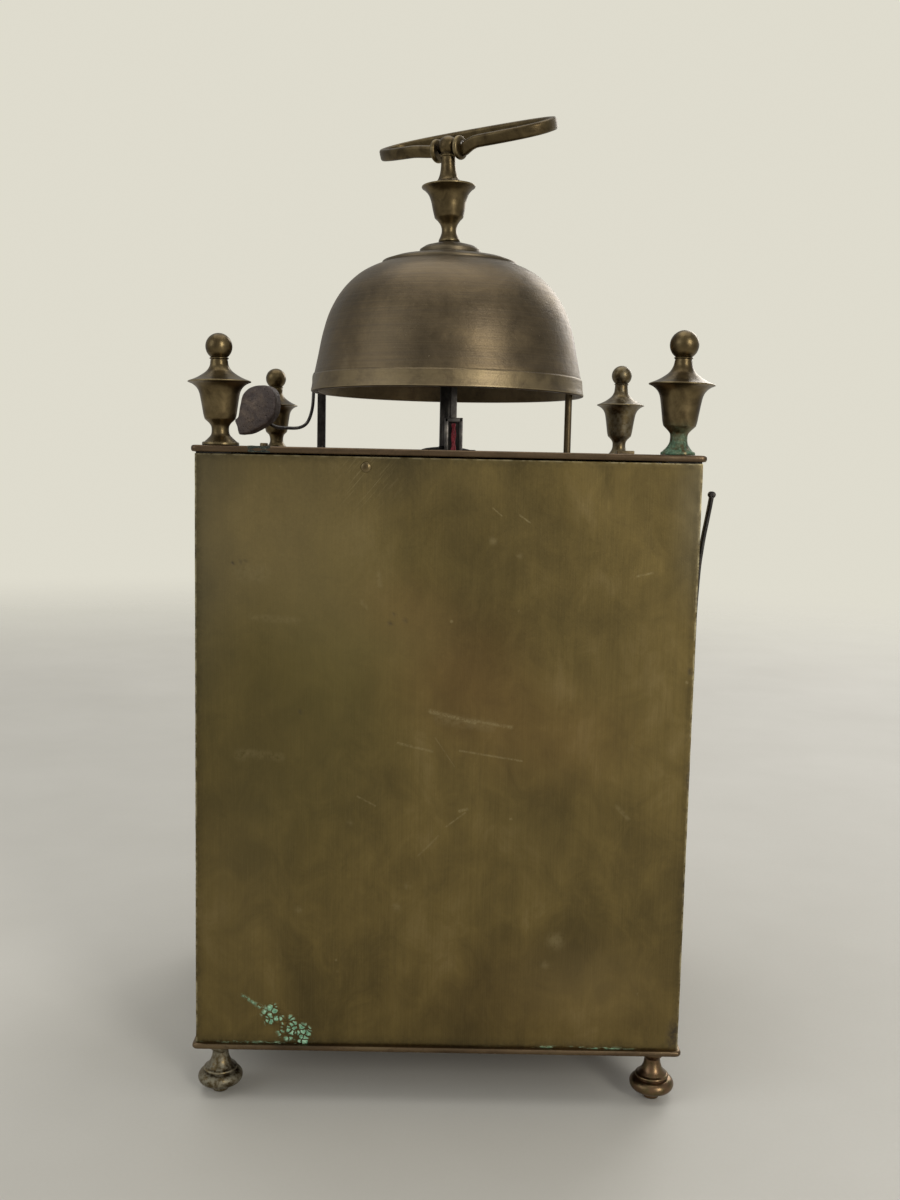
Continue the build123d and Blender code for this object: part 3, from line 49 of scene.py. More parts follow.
def lin(r, g, b):
    """Display colour, 0 to 255, as scene-linear."""
    out = []
    for c in (r, g, b):
        c /= 255.0
        out.append(c / 12.92 if c <= 0.04045 else ((c + 0.055) / 1.055) ** 2.4)
    return tuple(out)


# ------------------------------------------------------------------ camera at the photograph's angle
cam_data = bpy.data.cameras.new("camera")
cam = bpy.data.objects.new("camera", cam_data)
bpy.context.scene.collection.objects.link(cam)
right = Vector((-0.9997526649484707, 0.006219609117357526, 0.02135240948601141))
up = Vector((0.020528508453321652, -0.11124687363451882, 0.9935807533599004))
fwd = Vector((-0.008555072712311007, -0.993773339131702, -0.11109167908495392))
rot = Matrix((right, up, -fwd)).transposed()
cam.matrix_world = Matrix.Translation(Vector((1.70620, 360.44582, 169.19574)) * S) @ rot.to_4x4()
cam_data.sensor_fit = "AUTO"
cam_data.sensor_width = 36.0
cam_data.lens = 36.0 * 1197.0 / 1200.0
cam_data.clip_start, cam_data.clip_end = 0.01, 30.0
bpy.context.scene.camera = cam
bpy.context.scene.view_settings.view_transform = "Standard"
bpy.context.scene.view_settings.look = "None"


# ------------------------------------------------------------------ material building blocks
class Mat:
    """Small helper that builds one node material."""

    def __init__(self, name, **sockets):
        self.m = bpy.data.materials.new(name)
        self.m.use_nodes = True
        self.nt = self.m.node_tree
        self.nt.nodes.clear()
        out = self.nt.nodes.new("ShaderNodeOutputMaterial")
        self.b = self.nt.nodes.new("ShaderNodeBsdfPrincipled")
        self.nt.links.new(self.b.outputs[0], out.inputs[0])
        for k, v in sockets.items():
            self.b.inputs[k.replace("_", " ")].default_value = v
        tc = self.new("ShaderNodeTexCoord")
        self.mm = self.vm("MULTIPLY", tc.outputs["Object"], (1000.0, 1000.0, 1000.0))
        sep = self.new("ShaderNodeSeparateXYZ")
        self.link(self.mm, sep.inputs[0])
        self.x, self.y, self.z = sep.outputs

    def new(self, kind, **props):
        n = self.nt.nodes.new(kind)
        for k, v in props.items():
            setattr(n, k, v)
        return n

    def link(self, a, b):
        self.nt.links.new(a, b)

    def put(self, value, socket):
        if isinstance(value, bpy.types.NodeSocket):
            self.link(value, socket)
        elif isinstance(value, (tuple, list)) and len(value) == 3 and len(socket.default_value) == 4:
            socket.default_value = (*value, 1.0)
        else:
            socket.default_value = value

    def vm(self, op, a, b=None, c=None):
        n = self.new("ShaderNodeVectorMath", operation=op)
        self.put(a, n.inputs[0])
        if b is not None:
            self.put(b, n.inputs[1] if op != "SCALE" else n.inputs[3])
        if c is not None:
            self.put(c, n.inputs[2])
        return n.outputs["Value"] if op in ("DOT_PRODUCT", "LENGTH", "DISTANCE") else n.outputs[0]

    def ma(self, op, a, b=None, clamp=False):
        n = self.new("ShaderNodeMath", operation=op, use_clamp=clamp)
        self.put(a, n.inputs[0])
        if b is not None:
            self.put(b, n.inputs[1])
        return n.outputs[0]

    def rng(self, v, a, b, c=0.0, d=1.0, smooth=True):
        n = self.new("ShaderNodeMapRange", interpolation_type="SMOOTHSTEP" if smooth else "LINEAR", clamp=True)
        for val, i in ((v, 0), (a, 1), (b, 2), (c, 3), (d, 4)):
            self.put(val, n.inputs[i])
        return n.outputs[0]

    def noise(self, vec, scale=1.0, detail=4.0, rough=0.55, dist=0.0):
        n = self.new("ShaderNodeTexNoise")
        self.put(vec, n.inputs["Vector"])
        for k, v in (("Scale", scale), ("Detail", detail), ("Roughness", rough), ("Distortion", dist)):
            n.inputs[k].default_value = v
        return n.outputs[0]

    def voronoi(self, vec, scale=1.0, feature="F1", out=0, rand=1.0):
        n = self.new("ShaderNodeTexVoronoi", feature=feature)
        self.put(vec, n.inputs["Vector"])
        n.inputs["Scale"].default_value = scale
        n.inputs["Randomness"].default_value = rand
        return n.outputs[out]

    def stretch(self, sx, sy, sz, off=(0.0, 0.0, 0.0)):
        v = self.vm("MULTIPLY", self.mm, (sx, sy, sz))
        return self.vm("ADD", v, off) if any(off) else v

    def mix(self, fac, a, b, mode="MIX"):
        n = self.new("ShaderNodeMix", data_type="RGBA", blend_type=mode)
        self.put(fac, n.inputs[0])
        self.put(a, n.inputs[6])
        self.put(b, n.inputs[7])
        return n.outputs[2]

    def ramp(self, fac, stops):
        n = self.new("ShaderNodeValToRGB")
        self.put(fac, n.inputs[0])
        e = n.color_ramp.elements
        while len(e) < len(stops):
            e.new(0.5)
        for el, (p, c) in zip(e, stops):
            el.position, el.color = p, (*c, 1.0)
        return n.outputs[0]

    def attr(self, name):
        n = self.new("ShaderNodeAttribute", attribute_name=name)
        return n.outputs["Fac"]

    def bump(self, height, dist, strength=1.0, normal=None):
        n = self.new("ShaderNodeBump")
        self.put(height, n.inputs["Height"])
        n.inputs["Distance"].default_value = dist
        n.inputs["Strength"].default_value = strength
        if normal is not None:
            self.link(normal, n.inputs["Normal"])
        return n.outputs[0]

    def blob(self, x, z, rx, rz, lo=1.0, hi=0.0):
        """Soft oval patch on the X Z plane: 1 in the middle and 0 at the rim."""
        p = self.vm("MULTIPLY", self.vm("SUBTRACT", self.mm, (x, 0.0, z)), (1.0 / rx, 0.0, 1.0 / rz))
        return self.rng(self.vm("LENGTH", p), lo, hi)

    def streak(self, x1, z1, x2, z2, w, soft=0.5):
        """Thin straight mark between two points of the X Z plane."""
        ba = Vector((x2 - x1, 0.0, z2 - z1))
        p = self.vm("MULTIPLY", self.vm("SUBTRACT", self.mm, (x1, 0.0, z1)), (1.0, 0.0, 1.0))
        h = self.ma("MULTIPLY", self.vm("DOT_PRODUCT", p, tuple(ba)), 1.0 / ba.dot(ba), clamp=True)
        foot = self.new("ShaderNodeCombineXYZ")
        self.link(self.ma("MULTIPLY", h, ba.x), foot.inputs[0])
        self.link(self.ma("MULTIPLY", h, ba.z), foot.inputs[2])
        d = self.vm("LENGTH", self.vm("SUBTRACT", p, foot.outputs[0]))
        return self.rng(d, w + soft, w * 0.2)

    def most(self, values):
        out = values[0]
        for v in values[1:]:
            out = self.ma("MAXIMUM", out, v)
        return out

    def total(self, values):
        out = values[0]
        for v in values[1:]:
            out = self.ma("ADD", out, v)
        return out

    def set(self, **sockets):
        for k, v in sockets.items():
            self.put(v, self.b.inputs[k.replace("_", " ")])
        return self.m


# old rolled brass of the case, brushed up and down
def case_sheet(name, features=False, axis="xz", tone=1.0, seed=0.0):
    m = Mat(name, Metallic=1.0)
    sx, sy = (1.0, 0.0) if axis == "xz" else (0.0, 1.0)
    off = (seed, seed * 0.7, seed * 1.3)
    big = m.noise(m.stretch(0.018 * sx + 0.004, 0.018 * sy + 0.004, 0.014, off), 1.0, 3.0, 0.5, 0.6)
    mid = m.noise(m.stretch(0.055, 0.055, 0.035, off), 1.0, 5.0, 0.6, 0.4)
    brush = m.noise(m.stretch(2.6, 2.6, 0.03, off), 1.0, 3.0, 0.65)
    brush2 = m.noise(m.stretch(9.0, 9.0, 0.10, off), 1.0, 2.0, 0.6)
    grain = m.noise(m.stretch(1.6, 1.6, 1.1, off), 1.0, 6.0, 0.7)
    cloud = m.noise(m.stretch(0.11, 0.11, 0.085, off), 1.0, 6.0, 0.68, 0.8)
    t = m.ma("ADD", m.ma("MULTIPLY", big, 0.45), m.ma("ADD", m.ma("MULTIPLY", mid, 0.27), m.ma("MULTIPLY", cloud, 0.28)))
    k = tone
    col = m.ramp(t, [(0.36, tuple(c * k for c in (0.095, 0.072, 0.031))), (0.46, tuple(c * k for c in (0.146, 0.108, 0.042))),
                     (0.54, tuple(c * k for c in (0.196, 0.144, 0.053))), (0.64, tuple(c * k for c in (0.262, 0.196, 0.084)))])
    col = m.mix(m.rng(brush, 0.38, 0.66, 0.0, 0.20), col, tuple(c * k for c in (0.105, 0.080, 0.034)))
    col = m.mix(m.rng(brush2, 0.45, 0.75, 0.0, 0.16), col, tuple(c * k for c in (0.25, 0.19, 0.085)))
    col = m.mix(m.rng(grain, 0.52, 0.75, 0.0, 0.25), col, tuple(c * k for c in (0.115, 0.090, 0.040)))
    rough = m.ma("ADD", m.ma("MULTIPLY", mid, 0.14), m.rng(grain, 0.35, 0.7, 0.29, 0.40))
    height = m.ma("ADD", m.ma("MULTIPLY", brush2, 0.55), m.ma("MULTIPLY", grain, 0.45))
    if features:
        col, rough, height = back_panel_marks(m, col, rough, height)
    nrm = m.bump(height, 0.00004, 0.55)
    nrm = m.bump(big, 0.0035, 0.35, nrm)
    return m.set(Base_Color=col, Roughness=rough, Normal=nrm)


def back_panel_marks(m, col, rough, height):
    """The back panel's own stains, rubbed places, scratches and verdigris; the broad ones are stored on its mesh, and
    among them the light patch is a painted highlight and the warm patches are a painted warm reflection.
    """
    wob = m.noise(m.stretch(0.9, 0.9, 0.9), 1.0, 3.0, 0.6)
    # broad patches: the light patch is a painted highlight and the warm patches are a painted warm reflection; grey,
    # olive and dark are tone that differs from place to place
    col = m.mix(m.ma("MULTIPLY", m.attr("grey"), 0.62, clamp=True), col, (0.118, 0.112, 0.086))
    col = m.mix(m.ma("MULTIPLY", m.attr("olive"), 0.42, clamp=True), col, (0.200, 0.170, 0.060))
    col = m.mix(m.ma("MULTIPLY", m.attr("warm"), 0.46, clamp=True), col, (0.215, 0.128, 0.050))
    col = m.mix(m.ma("MULTIPLY", m.attr("dark"), 0.5, clamp=True), col, (0.085, 0.066, 0.030))
    col = m.mix(m.ma("MULTIPLY", m.attr("light"), 0.55, clamp=True), col, (0.30, 0.232, 0.108))
    # darker along the borders
    ax = m.ma("ABSOLUTE", m.x)
    edge = m.most([m.rng(ax, 61.2, 64.0), m.rng(m.z, 168.5, 171.4), m.rng(m.z, 19.5, 16.0)])
    edge = m.ma("MULTIPLY", edge, m.rng(wob, 0.3, 0.7, 0.35, 1.0))
    col = m.mix(m.ma("MULTIPLY", edge, 0.5), col, (0.050, 0.042, 0.026))
    # painted highlight: a bright line along the side edges and along the top edge
    edge_highlight = m.ma("MULTIPLY", m.most([m.rng(ax, 63.35, 63.9), m.ma("MULTIPLY", m.rng(m.z, 170.6, 171.0), 0.6)]),
                 m.rng(m.noise(m.stretch(0.3, 0.3, 0.25), 1.0, 4.0, 0.7), 0.38, 0.62))
    col = m.mix(m.ma("MULTIPLY", edge_highlight, 0.8), col, (0.46, 0.40, 0.24))
    # bright scratches and small pale nicks
    s = [m.ma("MULTIPLY", m.streak(*a), b) for a, b in (
        ((3.4, 106.4, -8.0, 103.6, 0.25, 0.7), 0.8), ((-6.0, 104.4, -17.6, 102.6, 0.15, 0.6), 0.65),
        ((11.7, 97.9, 2.9, 95.9, 0.15, 0.4), 0.6), ((-4.3, 96.2, -20.4, 93.8, 0.08, 0.35), 0.6),
        ((-4.6, 80.2, -6.6, 80.8, 0.2, 0.4), 0.9), ((-1.2, 76.0, -6.0, 79.8, 0.08, 0.28), 0.55),
        ((6.0, 68.0, 0.8, 73.4, 0.08, 0.35), 0.35), ((-11.3, 158.9, -13.6, 157.0, 0.06, 0.2), 0.6),
        ((-18.1, 157.3, -20.8, 155.4, 0.08, 0.25), 0.8), ((-48.6, 142.4, -52.4, 143.4, 0.12, 0.35), 0.6),
        ((22.0, 83.6, 17.4, 81.2, 0.1, 0.3), 0.45), ((2.2, 99.6, -3.0, 92.0, 0.04, 0.2), 0.35))]
    n2 = m.noise(m.stretch(1.4, 1.4, 1.4), 1.0, 5.0, 0.75)
    s = m.ma("MULTIPLY", m.most(s), m.rng(n2, 0.33, 0.62))
    along = m.new("ShaderNodeCombineXYZ")
    m.link(m.ma("MULTIPLY", m.vm("DOT_PRODUCT", m.mm, (0.766, 0.0, 0.643)), 2.6), along.inputs[0])
    m.link(m.ma("MULTIPLY", m.vm("DOT_PRODUCT", m.mm, (0.643, 0.0, -0.766)), 0.09), along.inputs[1])
    lines = m.noise(along.outputs[0], 1.0, 2.0, 0.5)
    s = m.ma("MAXIMUM", s, m.ma("MULTIPLY", m.ma("MULTIPLY", m.attr("hatch"), m.rng(lines, 0.55, 0.68)), 0.42))
    speck = m.voronoi(m.stretch(0.085, 0.0, 0.085, (1.0, 0.0, 5.0)), 1.0)
    speck = m.ma("MULTIPLY", m.rng(speck, 0.055, 0.02), m.rng(n2, 0.45, 0.55))
    pale = m.most([s, m.ma("MULTIPLY", m.ma("MULTIPLY", m.attr("pale"), m.rng(wob, 0.25, 0.6)), 0.5), m.ma("MULTIPLY", speck, 0.5)])
    col = m.mix(m.ma("MULTIPLY", pale, 0.8), col, (0.37, 0.30, 0.155))
    # dark pits and the dark worn places of the right edge
    pits = m.ma("MULTIPLY", m.attr("pit"), m.rng(wob, 0.3, 0.6, 0.5, 1.0))
    col = m.mix(m.ma("MULTIPLY", pits, 0.85), col, (0.026, 0.018, 0.013))
    # verdigris: flakes at the lower left, a thin trail above them, a line along the bottom edge
    patch = m.attr("patch")
    w = m.vm("ADD", m.stretch(1.0, 0.0, 1.0), (3.0, 0.0, 7.0))
    warp = m.new("ShaderNodeTexNoise")
    m.link(w, warp.inputs["Vector"])
    warp.inputs["Scale"].default_value = 0.9
    w2 = m.vm("ADD", w, m.vm("SCALE", warp.outputs[1], 1.1))
    cells = m.voronoi(w2, 0.62, "F1", 0)
    gaps = m.voronoi(w2, 0.62, "DISTANCE_TO_EDGE", 0)
    flakes = m.ma("MULTIPLY", m.rng(cells, 0.62, 0.42), m.rng(gaps, 0.06, 0.16))
    flakes = m.ma("MULTIPLY", flakes, m.rng(m.ma("ADD", patch, m.ma("MULTIPLY", wob, 0.4)), 0.30, 0.62))
    trail = m.ma("MULTIPLY", m.most([m.streak(51.6, 29.2, 48.0, 26.6, 0.25, 0.5), m.streak(48.0, 26.6, 44.6, 25.0, 0.35, 0.6)]),
                 m.rng(m.noise(m.stretch(1.3, 1.3, 1.3), 1.0, 4.0, 0.7), 0.42, 0.6))
    line = m.ma("MULTIPLY", m.rng(m.z, 16.9, 16.1), m.rng(m.noise(m.stretch(0.22, 0.0, 0.6), 1.0, 5.0, 0.75), 0.50, 0.62))
    line = m.ma("MULTIPLY", line, m.attr("seam"))
    green = m.most([flakes, m.ma("MULTIPLY", trail, 0.8), m.ma("MULTIPLY", line, 0.85)])
    gcol = m.ramp(m.noise(m.stretch(0.8, 0.8, 0.8, (5, 2, 1)), 1.0, 4.0, 0.6),
                  [(0.35, lin(84, 130, 102)), (0.5, lin(128, 172, 140)), (0.66, lin(176, 214, 184))])
    stain = m.ma("MULTIPLY", m.rng(patch, 0.0, 0.7), m.rng(gaps, 0.16, 0.03))
    col = m.mix(m.ma("MULTIPLY", stain, 0.6), col, (0.065, 0.045, 0.020))
    col = m.mix(green, col, gcol)
    m.link(m.ma("SUBTRACT", 1.0, m.ma("MAXIMUM", green, m.ma("MULTIPLY", pits, 0.5))), m.b.inputs["Metallic"])
    rough = m.ma("ADD", rough, m.ma("MULTIPLY", green, 0.5), clamp=True)
    rough = m.ma("SUBTRACT", rough, m.ma("MULTIPLY", pale, 0.06))
    height = m.ma("ADD", height, m.ma("MULTIPLY", green, 7.0))
    height = m.ma("SUBTRACT", height, m.ma("MULTIPLY", m.ma("MAXIMUM", pits, m.ma("MULTIPLY", pale, 0.25)), 3.0))
    return col, rough, height


# turned brass: darker in the hollows from grime and from painted shade standing in for occlusion, rubbed bright on the
# rims, fine turning lines
def turned(name, tone=1.0, verdigris=0.0, dust=0.0, copper=0.0, seed=0.0, rough0=0.24, green_z=None):
    m = Mat(name, Metallic=1.0)
    off = (seed * 3.1, seed * 1.7, seed)
    blot = m.noise(m.stretch(0.22, 0.22, 0.22, off), 1.0, 5.0, 0.62, 0.5)
    fine = m.noise(m.stretch(1.9, 1.9, 1.9, off), 1.0, 5.0, 0.7)
    lines = m.noise(m.stretch(0.05, 0.05, 7.5, off), 1.0, 3.0, 0.6)
    k = tone
    col = m.ramp(blot, [(0.32, tuple(c * k for c in (0.070, 0.050, 0.025))), (0.5, tuple(c * k for c in (0.128, 0.094, 0.046))),
                        (0.68, tuple(c * k for c in (0.190, 0.142, 0.070)))])
    groove = m.attr("groove")
    # darker in the hollows: grime, and painted shade standing in for occlusion
    grime_and_shade = m.ma("MULTIPLY", m.rng(groove, 0.04, 0.30), m.rng(fine, 0.25, 0.55, 0.6, 1.0))
    col = m.mix(m.ma("MULTIPLY", grime_and_shade, 0.85), col, (0.050, 0.036, 0.022))
    wear = m.ma("MULTIPLY", m.rng(groove, -0.06, -0.30), m.rng(blot, 0.35, 0.6, 0.35, 1.0))
    col = m.mix(m.ma("MULTIPLY", wear, 0.5), col, (0.34, 0.27, 0.145))
    col = m.mix(m.rng(lines, 0.5, 0.72, 0.0, 0.35), col, (0.11, 0.08, 0.045))
    col = m.mix(m.rng(fine, 0.56, 0.72, 0.0, 0.45), col, (0.075, 0.052, 0.030))
    if copper:
        col = m.mix(m.rng(m.noise(m.stretch(0.4, 0.4, 0.4, off), 1.0, 3.0), 0.35, 0.6, 0.0, copper), col, (0.22, 0.125, 0.075))
    rough = m.ma("ADD", m.ma("MULTIPLY", fine, 0.26), m.ma("ADD", m.ma("MULTIPLY", grime_and_shade, 0.30), rough0 - 0.04))
    height = m.ma("ADD", m.ma("MULTIPLY", lines, 0.5), m.ma("MULTIPLY", fine, 0.5))
    if dust:
        d = m.ma("MULTIPLY", m.rng(m.noise(m.stretch(0.7, 0.7, 0.7, off), 1.0, 5.0, 0.7), 0.40, 0.62), dust)
        col = m.mix(d, col, lin(150, 146, 128))
        m.link(m.ma("SUBTRACT", 1.0, m.ma("MULTIPLY", d, 0.8)), m.b.inputs["Metallic"])
        rough = m.ma("ADD", rough, m.ma("MULTIPLY", d, 0.4), clamp=True)
    if verdigris:
        z0, z1 = green_z
        g = m.ma("MULTIPLY", m.rng(m.z, z1, z0), m.rng(m.noise(m.stretch(0.5, 0.5, 0.35, off), 1.0, 5.0, 0.7), 0.36, 0.58))
        g = m.ma("MULTIPLY", g, verdigris)
        gcol = m.ramp(fine, [(0.35, lin(40, 74, 58)), (0.52, lin(78, 118, 92)), (0.7, lin(150, 182, 156))])
        col = m.mix(g, col, gcol)
        m.link(m.ma("SUBTRACT", 1.0, g), m.b.inputs["Metallic"])
        rough = m.ma("ADD", rough, m.ma("MULTIPLY", g, 0.45), clamp=True)
        height = m.ma("ADD", height, m.ma("MULTIPLY", g, 1.5))
    return m.set(Base_Color=col, Roughness=rough, Normal=m.bump(height, 0.00005, 0.6))


def bell_metal(name):
    m = Mat(name, Metallic=1.0)
    blot = m.noise(m.stretch(0.045, 0.045, 0.06), 1.0, 5.0, 0.6, 0.7)
    cloud = m.noise(m.stretch(0.16, 0.16, 0.16, (4, 1, 9)), 1.0, 6.0, 0.7, 0.3)
    l1 = m.noise(m.stretch(0.015, 0.015, 2.2), 1.0, 3.0, 0.7)
    l2 = m.noise(m.stretch(0.03, 0.03, 8.0), 1.0, 2.0, 0.6)
    t = m.ma("ADD", m.ma("MULTIPLY", blot, 0.55), m.ma("MULTIPLY", cloud, 0.45))
    col = m.ramp(t, [(0.33, (0.086, 0.066, 0.042)), (0.47, (0.128, 0.097, 0.059)), (0.58, (0.165, 0.124, 0.073)), (0.72, (0.235, 0.184, 0.112))])
    col = m.mix(m.rng(l1, 0.42, 0.66, 0.0, 0.5), col, (0.115, 0.090, 0.062))
    col = m.mix(m.rng(l2, 0.5, 0.72, 0.0, 0.3), col, (0.230, 0.176, 0.105))
    h = m.ma("SUBTRACT", m.z, ZT)
    # painted shade: the upper part of the bell is mixed towards a greyer, slightly darker brown
    top = m.rng(h, 46.0, 58.0)
    col = m.mix(m.ma("MULTIPLY", top, 0.42), col, (0.120, 0.105, 0.074))
    band = m.rng(h, 22.6, 20.6)
    col = m.mix(m.ma("MULTIPLY", band, m.rng(cloud, 0.35, 0.6, 0.15, 0.5)), col, (0.30, 0.235, 0.13))
    # darker in the hollows: grime, and painted shade standing in for occlusion; lighter on the rims where rubbed
    groove = m.attr("groove")
    col = m.mix(m.rng(groove, 0.03, 0.2, 0.0, 0.75), col, (0.050, 0.040, 0.028))
    col = m.mix(m.rng(groove, -0.05, -0.25, 0.0, 0.55), col, (0.42, 0.34, 0.21))
    nick = m.rng(m.noise(m.stretch(1.1, 1.1, 1.1), 1.0, 4.0, 0.8), 0.68, 0.74)
    col = m.mix(m.ma("MULTIPLY", nick, 0.5), col, (0.48, 0.40, 0.26))
    rough = m.ma("ADD", m.ma("MULTIPLY", cloud, 0.34), m.ma("ADD", m.ma("MULTIPLY", l1, 0.10), 0.20))
    hgt = m.ma("ADD", m.ma("MULTIPLY", l1, 0.5), m.ma("MULTIPLY", l2, 0.5))
    nrm = m.bump(hgt, 0.00010, 0.55)
    nrm = m.bump(cloud, 0.0006, 0.22, nrm)
    return m.set(Base_Color=col, Roughness=rough, Normal=nrm)


def dark_steel(name, tone=1.0, brass=0.0, rust=0.25, rough0=0.42, seed=0.0):
    m = Mat(name, Metallic=1.0)
    off = (seed, seed * 2.0, seed * 3.0)
    n1 = m.noise(m.stretch(0.35, 0.35, 0.25, off), 1.0, 5.0, 0.65)
    n2 = m.noise(m.stretch(2.4, 2.4, 1.2, off), 1.0, 5.0, 0.7)
    col = m.ramp(n1, [(0.35, tuple(c * tone for c in (0.035, 0.033, 0.032))), (0.55, tuple(c * tone for c in (0.075, 0.070, 0.064))),
                      (0.72, tuple(c * tone for c in (0.150, 0.138, 0.120)))])
    if brass:
        col = m.mix(m.rng(n1, 0.3, 0.6, brass * 0.6, brass), col, (0.20, 0.145, 0.070))
    col = m.mix(m.rng(n2, 0.50, 0.70, 0.0, rust), col, (0.10, 0.050, 0.030))
    rough = m.ma("ADD", m.ma("MULTIPLY", n2, 0.3), rough0 - 0.15)
    return m.set(Base_Color=col, Roughness=rough, Normal=m.bump(n2, 0.00006, 0.6))


def rusty_iron(name):
    m = Mat(name)
    n1 = m.noise(m.stretch(0.20, 0.20, 0.20), 1.0, 6.0, 0.7, 0.6)
    n2 = m.noise(m.stretch(1.3, 1.3, 1.3, (2, 8, 5)), 1.0, 6.0, 0.75)
    pit = m.voronoi(m.stretch(0.9, 0.9, 0.9), 1.0)
    col = m.ramp(n1, [(0.30, lin(50, 42, 40)), (0.47, lin(78, 69, 66)), (0.58, lin(97, 86, 79)), (0.74, lin(126, 112, 100))])
    col = m.mix(m.rng(n2, 0.52, 0.70, 0.0, 0.6), col, lin(58, 38, 30))
    col = m.mix(m.rng(n2, 0.38, 0.26, 0.0, 0.5), col, lin(136, 122, 120))
    col = m.mix(m.rng(pit, 0.26, 0.08, 0.0, 0.6), col, lin(38, 28, 28))
    metal = m.rng(n1, 0.40, 0.65, 0.35, 0.75)
    m.link(metal, m.b.inputs["Metallic"])
    rough = m.rng(n2, 0.3, 0.7, 0.40, 0.70)
    h = m.ma("SUBTRACT", m.ma("MULTIPLY", n2, 0.8), m.rng(pit, 0.30, 0.05, 0.0, 0.5))
    nrm = m.bump(h, 0.00035, 0.7)
    return m.set(Base_Color=col, Roughness=rough, Normal=m.bump(n1, 0.0012, 0.35, nrm))


def plate_brass(name, tone=1.0, red=0.35, seed=0.0, rough0=0.36, bright=0.0):
    m = Mat(name, Metallic=1.0)
    off = (seed, seed + 3.0, seed * 2.0)
    n1 = m.noise(m.stretch(0.05, 0.05, 0.2, off), 1.0, 5.0, 0.62, 0.4)
    n2 = m.noise(m.stretch(0.9, 0.9, 0.9, off), 1.0, 5.0, 0.7)
    k = tone
    col = m.ramp(n1, [(0.33, tuple(c * k for c in (0.075, 0.052, 0.032))), (0.5, tuple(c * k for c in (0.125, 0.086, 0.050))),
                      (0.68, tuple(c * k for c in (0.180, 0.136, 0.074)))])
    col = m.mix(m.rng(n1, 0.42, 0.6, 0.0, red), col, (0.120 * k, 0.072 * k, 0.052 * k))
    col = m.mix(m.rng(n2, 0.5, 0.7, 0.0, 0.5), col, (0.060 * k, 0.045 * k, 0.030 * k))
    if bright:
        col = m.mix(m.rng(n2, 0.36, 0.28, 0.0, bright), col, (0.48, 0.38, 0.21))
    rough = m.ma("ADD", m.ma("MULTIPLY", n2, 0.25), rough0 - 0.12)
    return m.set(Base_Color=col, Roughness=rough, Normal=m.bump(n2, 0.00006, 0.6))


def clean_brass(name, seed=0.0):
    """The movement's plates and wheels, kept inside and only lightly dulled."""
    m = Mat(name, Metallic=1.0)
    off = (seed, seed, seed * 2.0)
    n1 = m.noise(m.stretch(0.10, 0.05, 0.10, off), 1.0, 4.0, 0.6, 0.5)
    n2 = m.noise(m.stretch(2.2, 1.0, 0.5, off), 1.0, 4.0, 0.65)
    col = m.ramp(n1, [(0.33, (0.30, 0.205, 0.082)), (0.52, (0.44, 0.315, 0.135)), (0.7, (0.56, 0.42, 0.20))])
    col = m.mix(m.rng(n2, 0.52, 0.7, 0.0, 0.4), col, (0.22, 0.15, 0.07))
    rough = m.ma("ADD", m.ma("MULTIPLY", n2, 0.2), 0.20)
    return m.set(Base_Color=col, Roughness=rough, Normal=m.bump(n2, 0.00003, 0.5))


def silk(name):
    m = Mat(name, Roughness=0.62)
    tw = m.noise(m.stretch(7.0, 7.0, 1.4), 1.0, 3.0, 0.6, 0.5)
    fine = m.noise(m.stretch(22.0, 22.0, 2.5), 1.0, 2.0, 0.6)
    col = m.ramp(tw, [(0.34, lin(74, 8, 18)), (0.5, lin(150, 26, 44)), (0.66, lin(206, 70, 84))])
    col = m.mix(m.rng(fine, 0.55, 0.7, 0.0, 0.5), col, lin(96, 10, 22))
    m.b.inputs["Sheen Weight"].default_value = 0.5
    return m.set(Base_Color=col, Normal=m.bump(m.ma("ADD", tw, m.ma("MULTIPLY", fine, 0.4)), 0.0003, 0.8))


def enamel(name):
    m = Mat(name, Coat_Weight=0.6, Coat_Roughness=0.04, IOR=1.5)
    n1 = m.noise(m.stretch(0.05, 0.05, 0.05), 1.0, 4.0, 0.6)
    n2 = m.noise(m.stretch(1.5, 1.5, 1.5), 1.0, 4.0, 0.7)
    col = m.ramp(n1, [(0.35, (0.70, 0.67, 0.58)), (0.6, (0.80, 0.78, 0.71))])
    col = m.mix(m.rng(n2, 0.62, 0.72, 0.0, 0.35), col, (0.50, 0.45, 0.36))
    cr = m.voronoi(m.stretch(0.06, 0.06, 0.06, (9, 0, 4)), 1.0, "DISTANCE_TO_EDGE")
    cr = m.ma("MULTIPLY", m.rng(cr, 0.012, 0.002), m.rng(n1, 0.55, 0.62))
    col = m.mix(m.ma("MULTIPLY", cr, 0.7), col, (0.20, 0.16, 0.11))
    return m.set(Base_Color=col, Roughness=m.rng(n2, 0.3, 0.7, 0.12, 0.24), Normal=m.bump(n1, 0.0012, 0.25))


def black_paint(name):
    m = Mat(name)
    n = m.noise(m.stretch(1.2, 1.2, 1.2), 1.0, 5.0, 0.7)
    col = m.ramp(n, [(0.35, (0.008, 0.008, 0.010)), (0.7, (0.030, 0.028, 0.028))])
    return m.set(Base_Color=col, Roughness=m.rng(n, 0.3, 0.7, 0.25, 0.5))


def blued(name):
    m = Mat(name, Metallic=1.0)
    n = m.noise(m.stretch(0.25, 0.25, 0.25), 1.0, 4.0, 0.6)
    n2 = m.noise(m.stretch(2.0, 2.0, 2.0), 1.0, 4.0, 0.6)
    col = m.ramp(n, [(0.35, (0.010, 0.018, 0.055)), (0.55, (0.020, 0.034, 0.105)), (0.72, (0.060, 0.055, 0.085))])
    return m.set(Base_Color=col, Roughness=m.rng(n2, 0.3, 0.7, 0.18, 0.34))


def crystal(name):
    m = Mat(name, IOR=1.45, Transmission_Weight=1.0)
    n = m.noise(m.stretch(0.08, 0.08, 0.08), 1.0, 4.0, 0.7)
    return m.set(Base_Color=m.ramp(n, [(0.3, (0.95, 0.97, 0.96)), (0.7, (0.99, 1.0, 0.99))]), Roughness=m.rng(n, 0.45, 0.7, 0.0, 0.05))


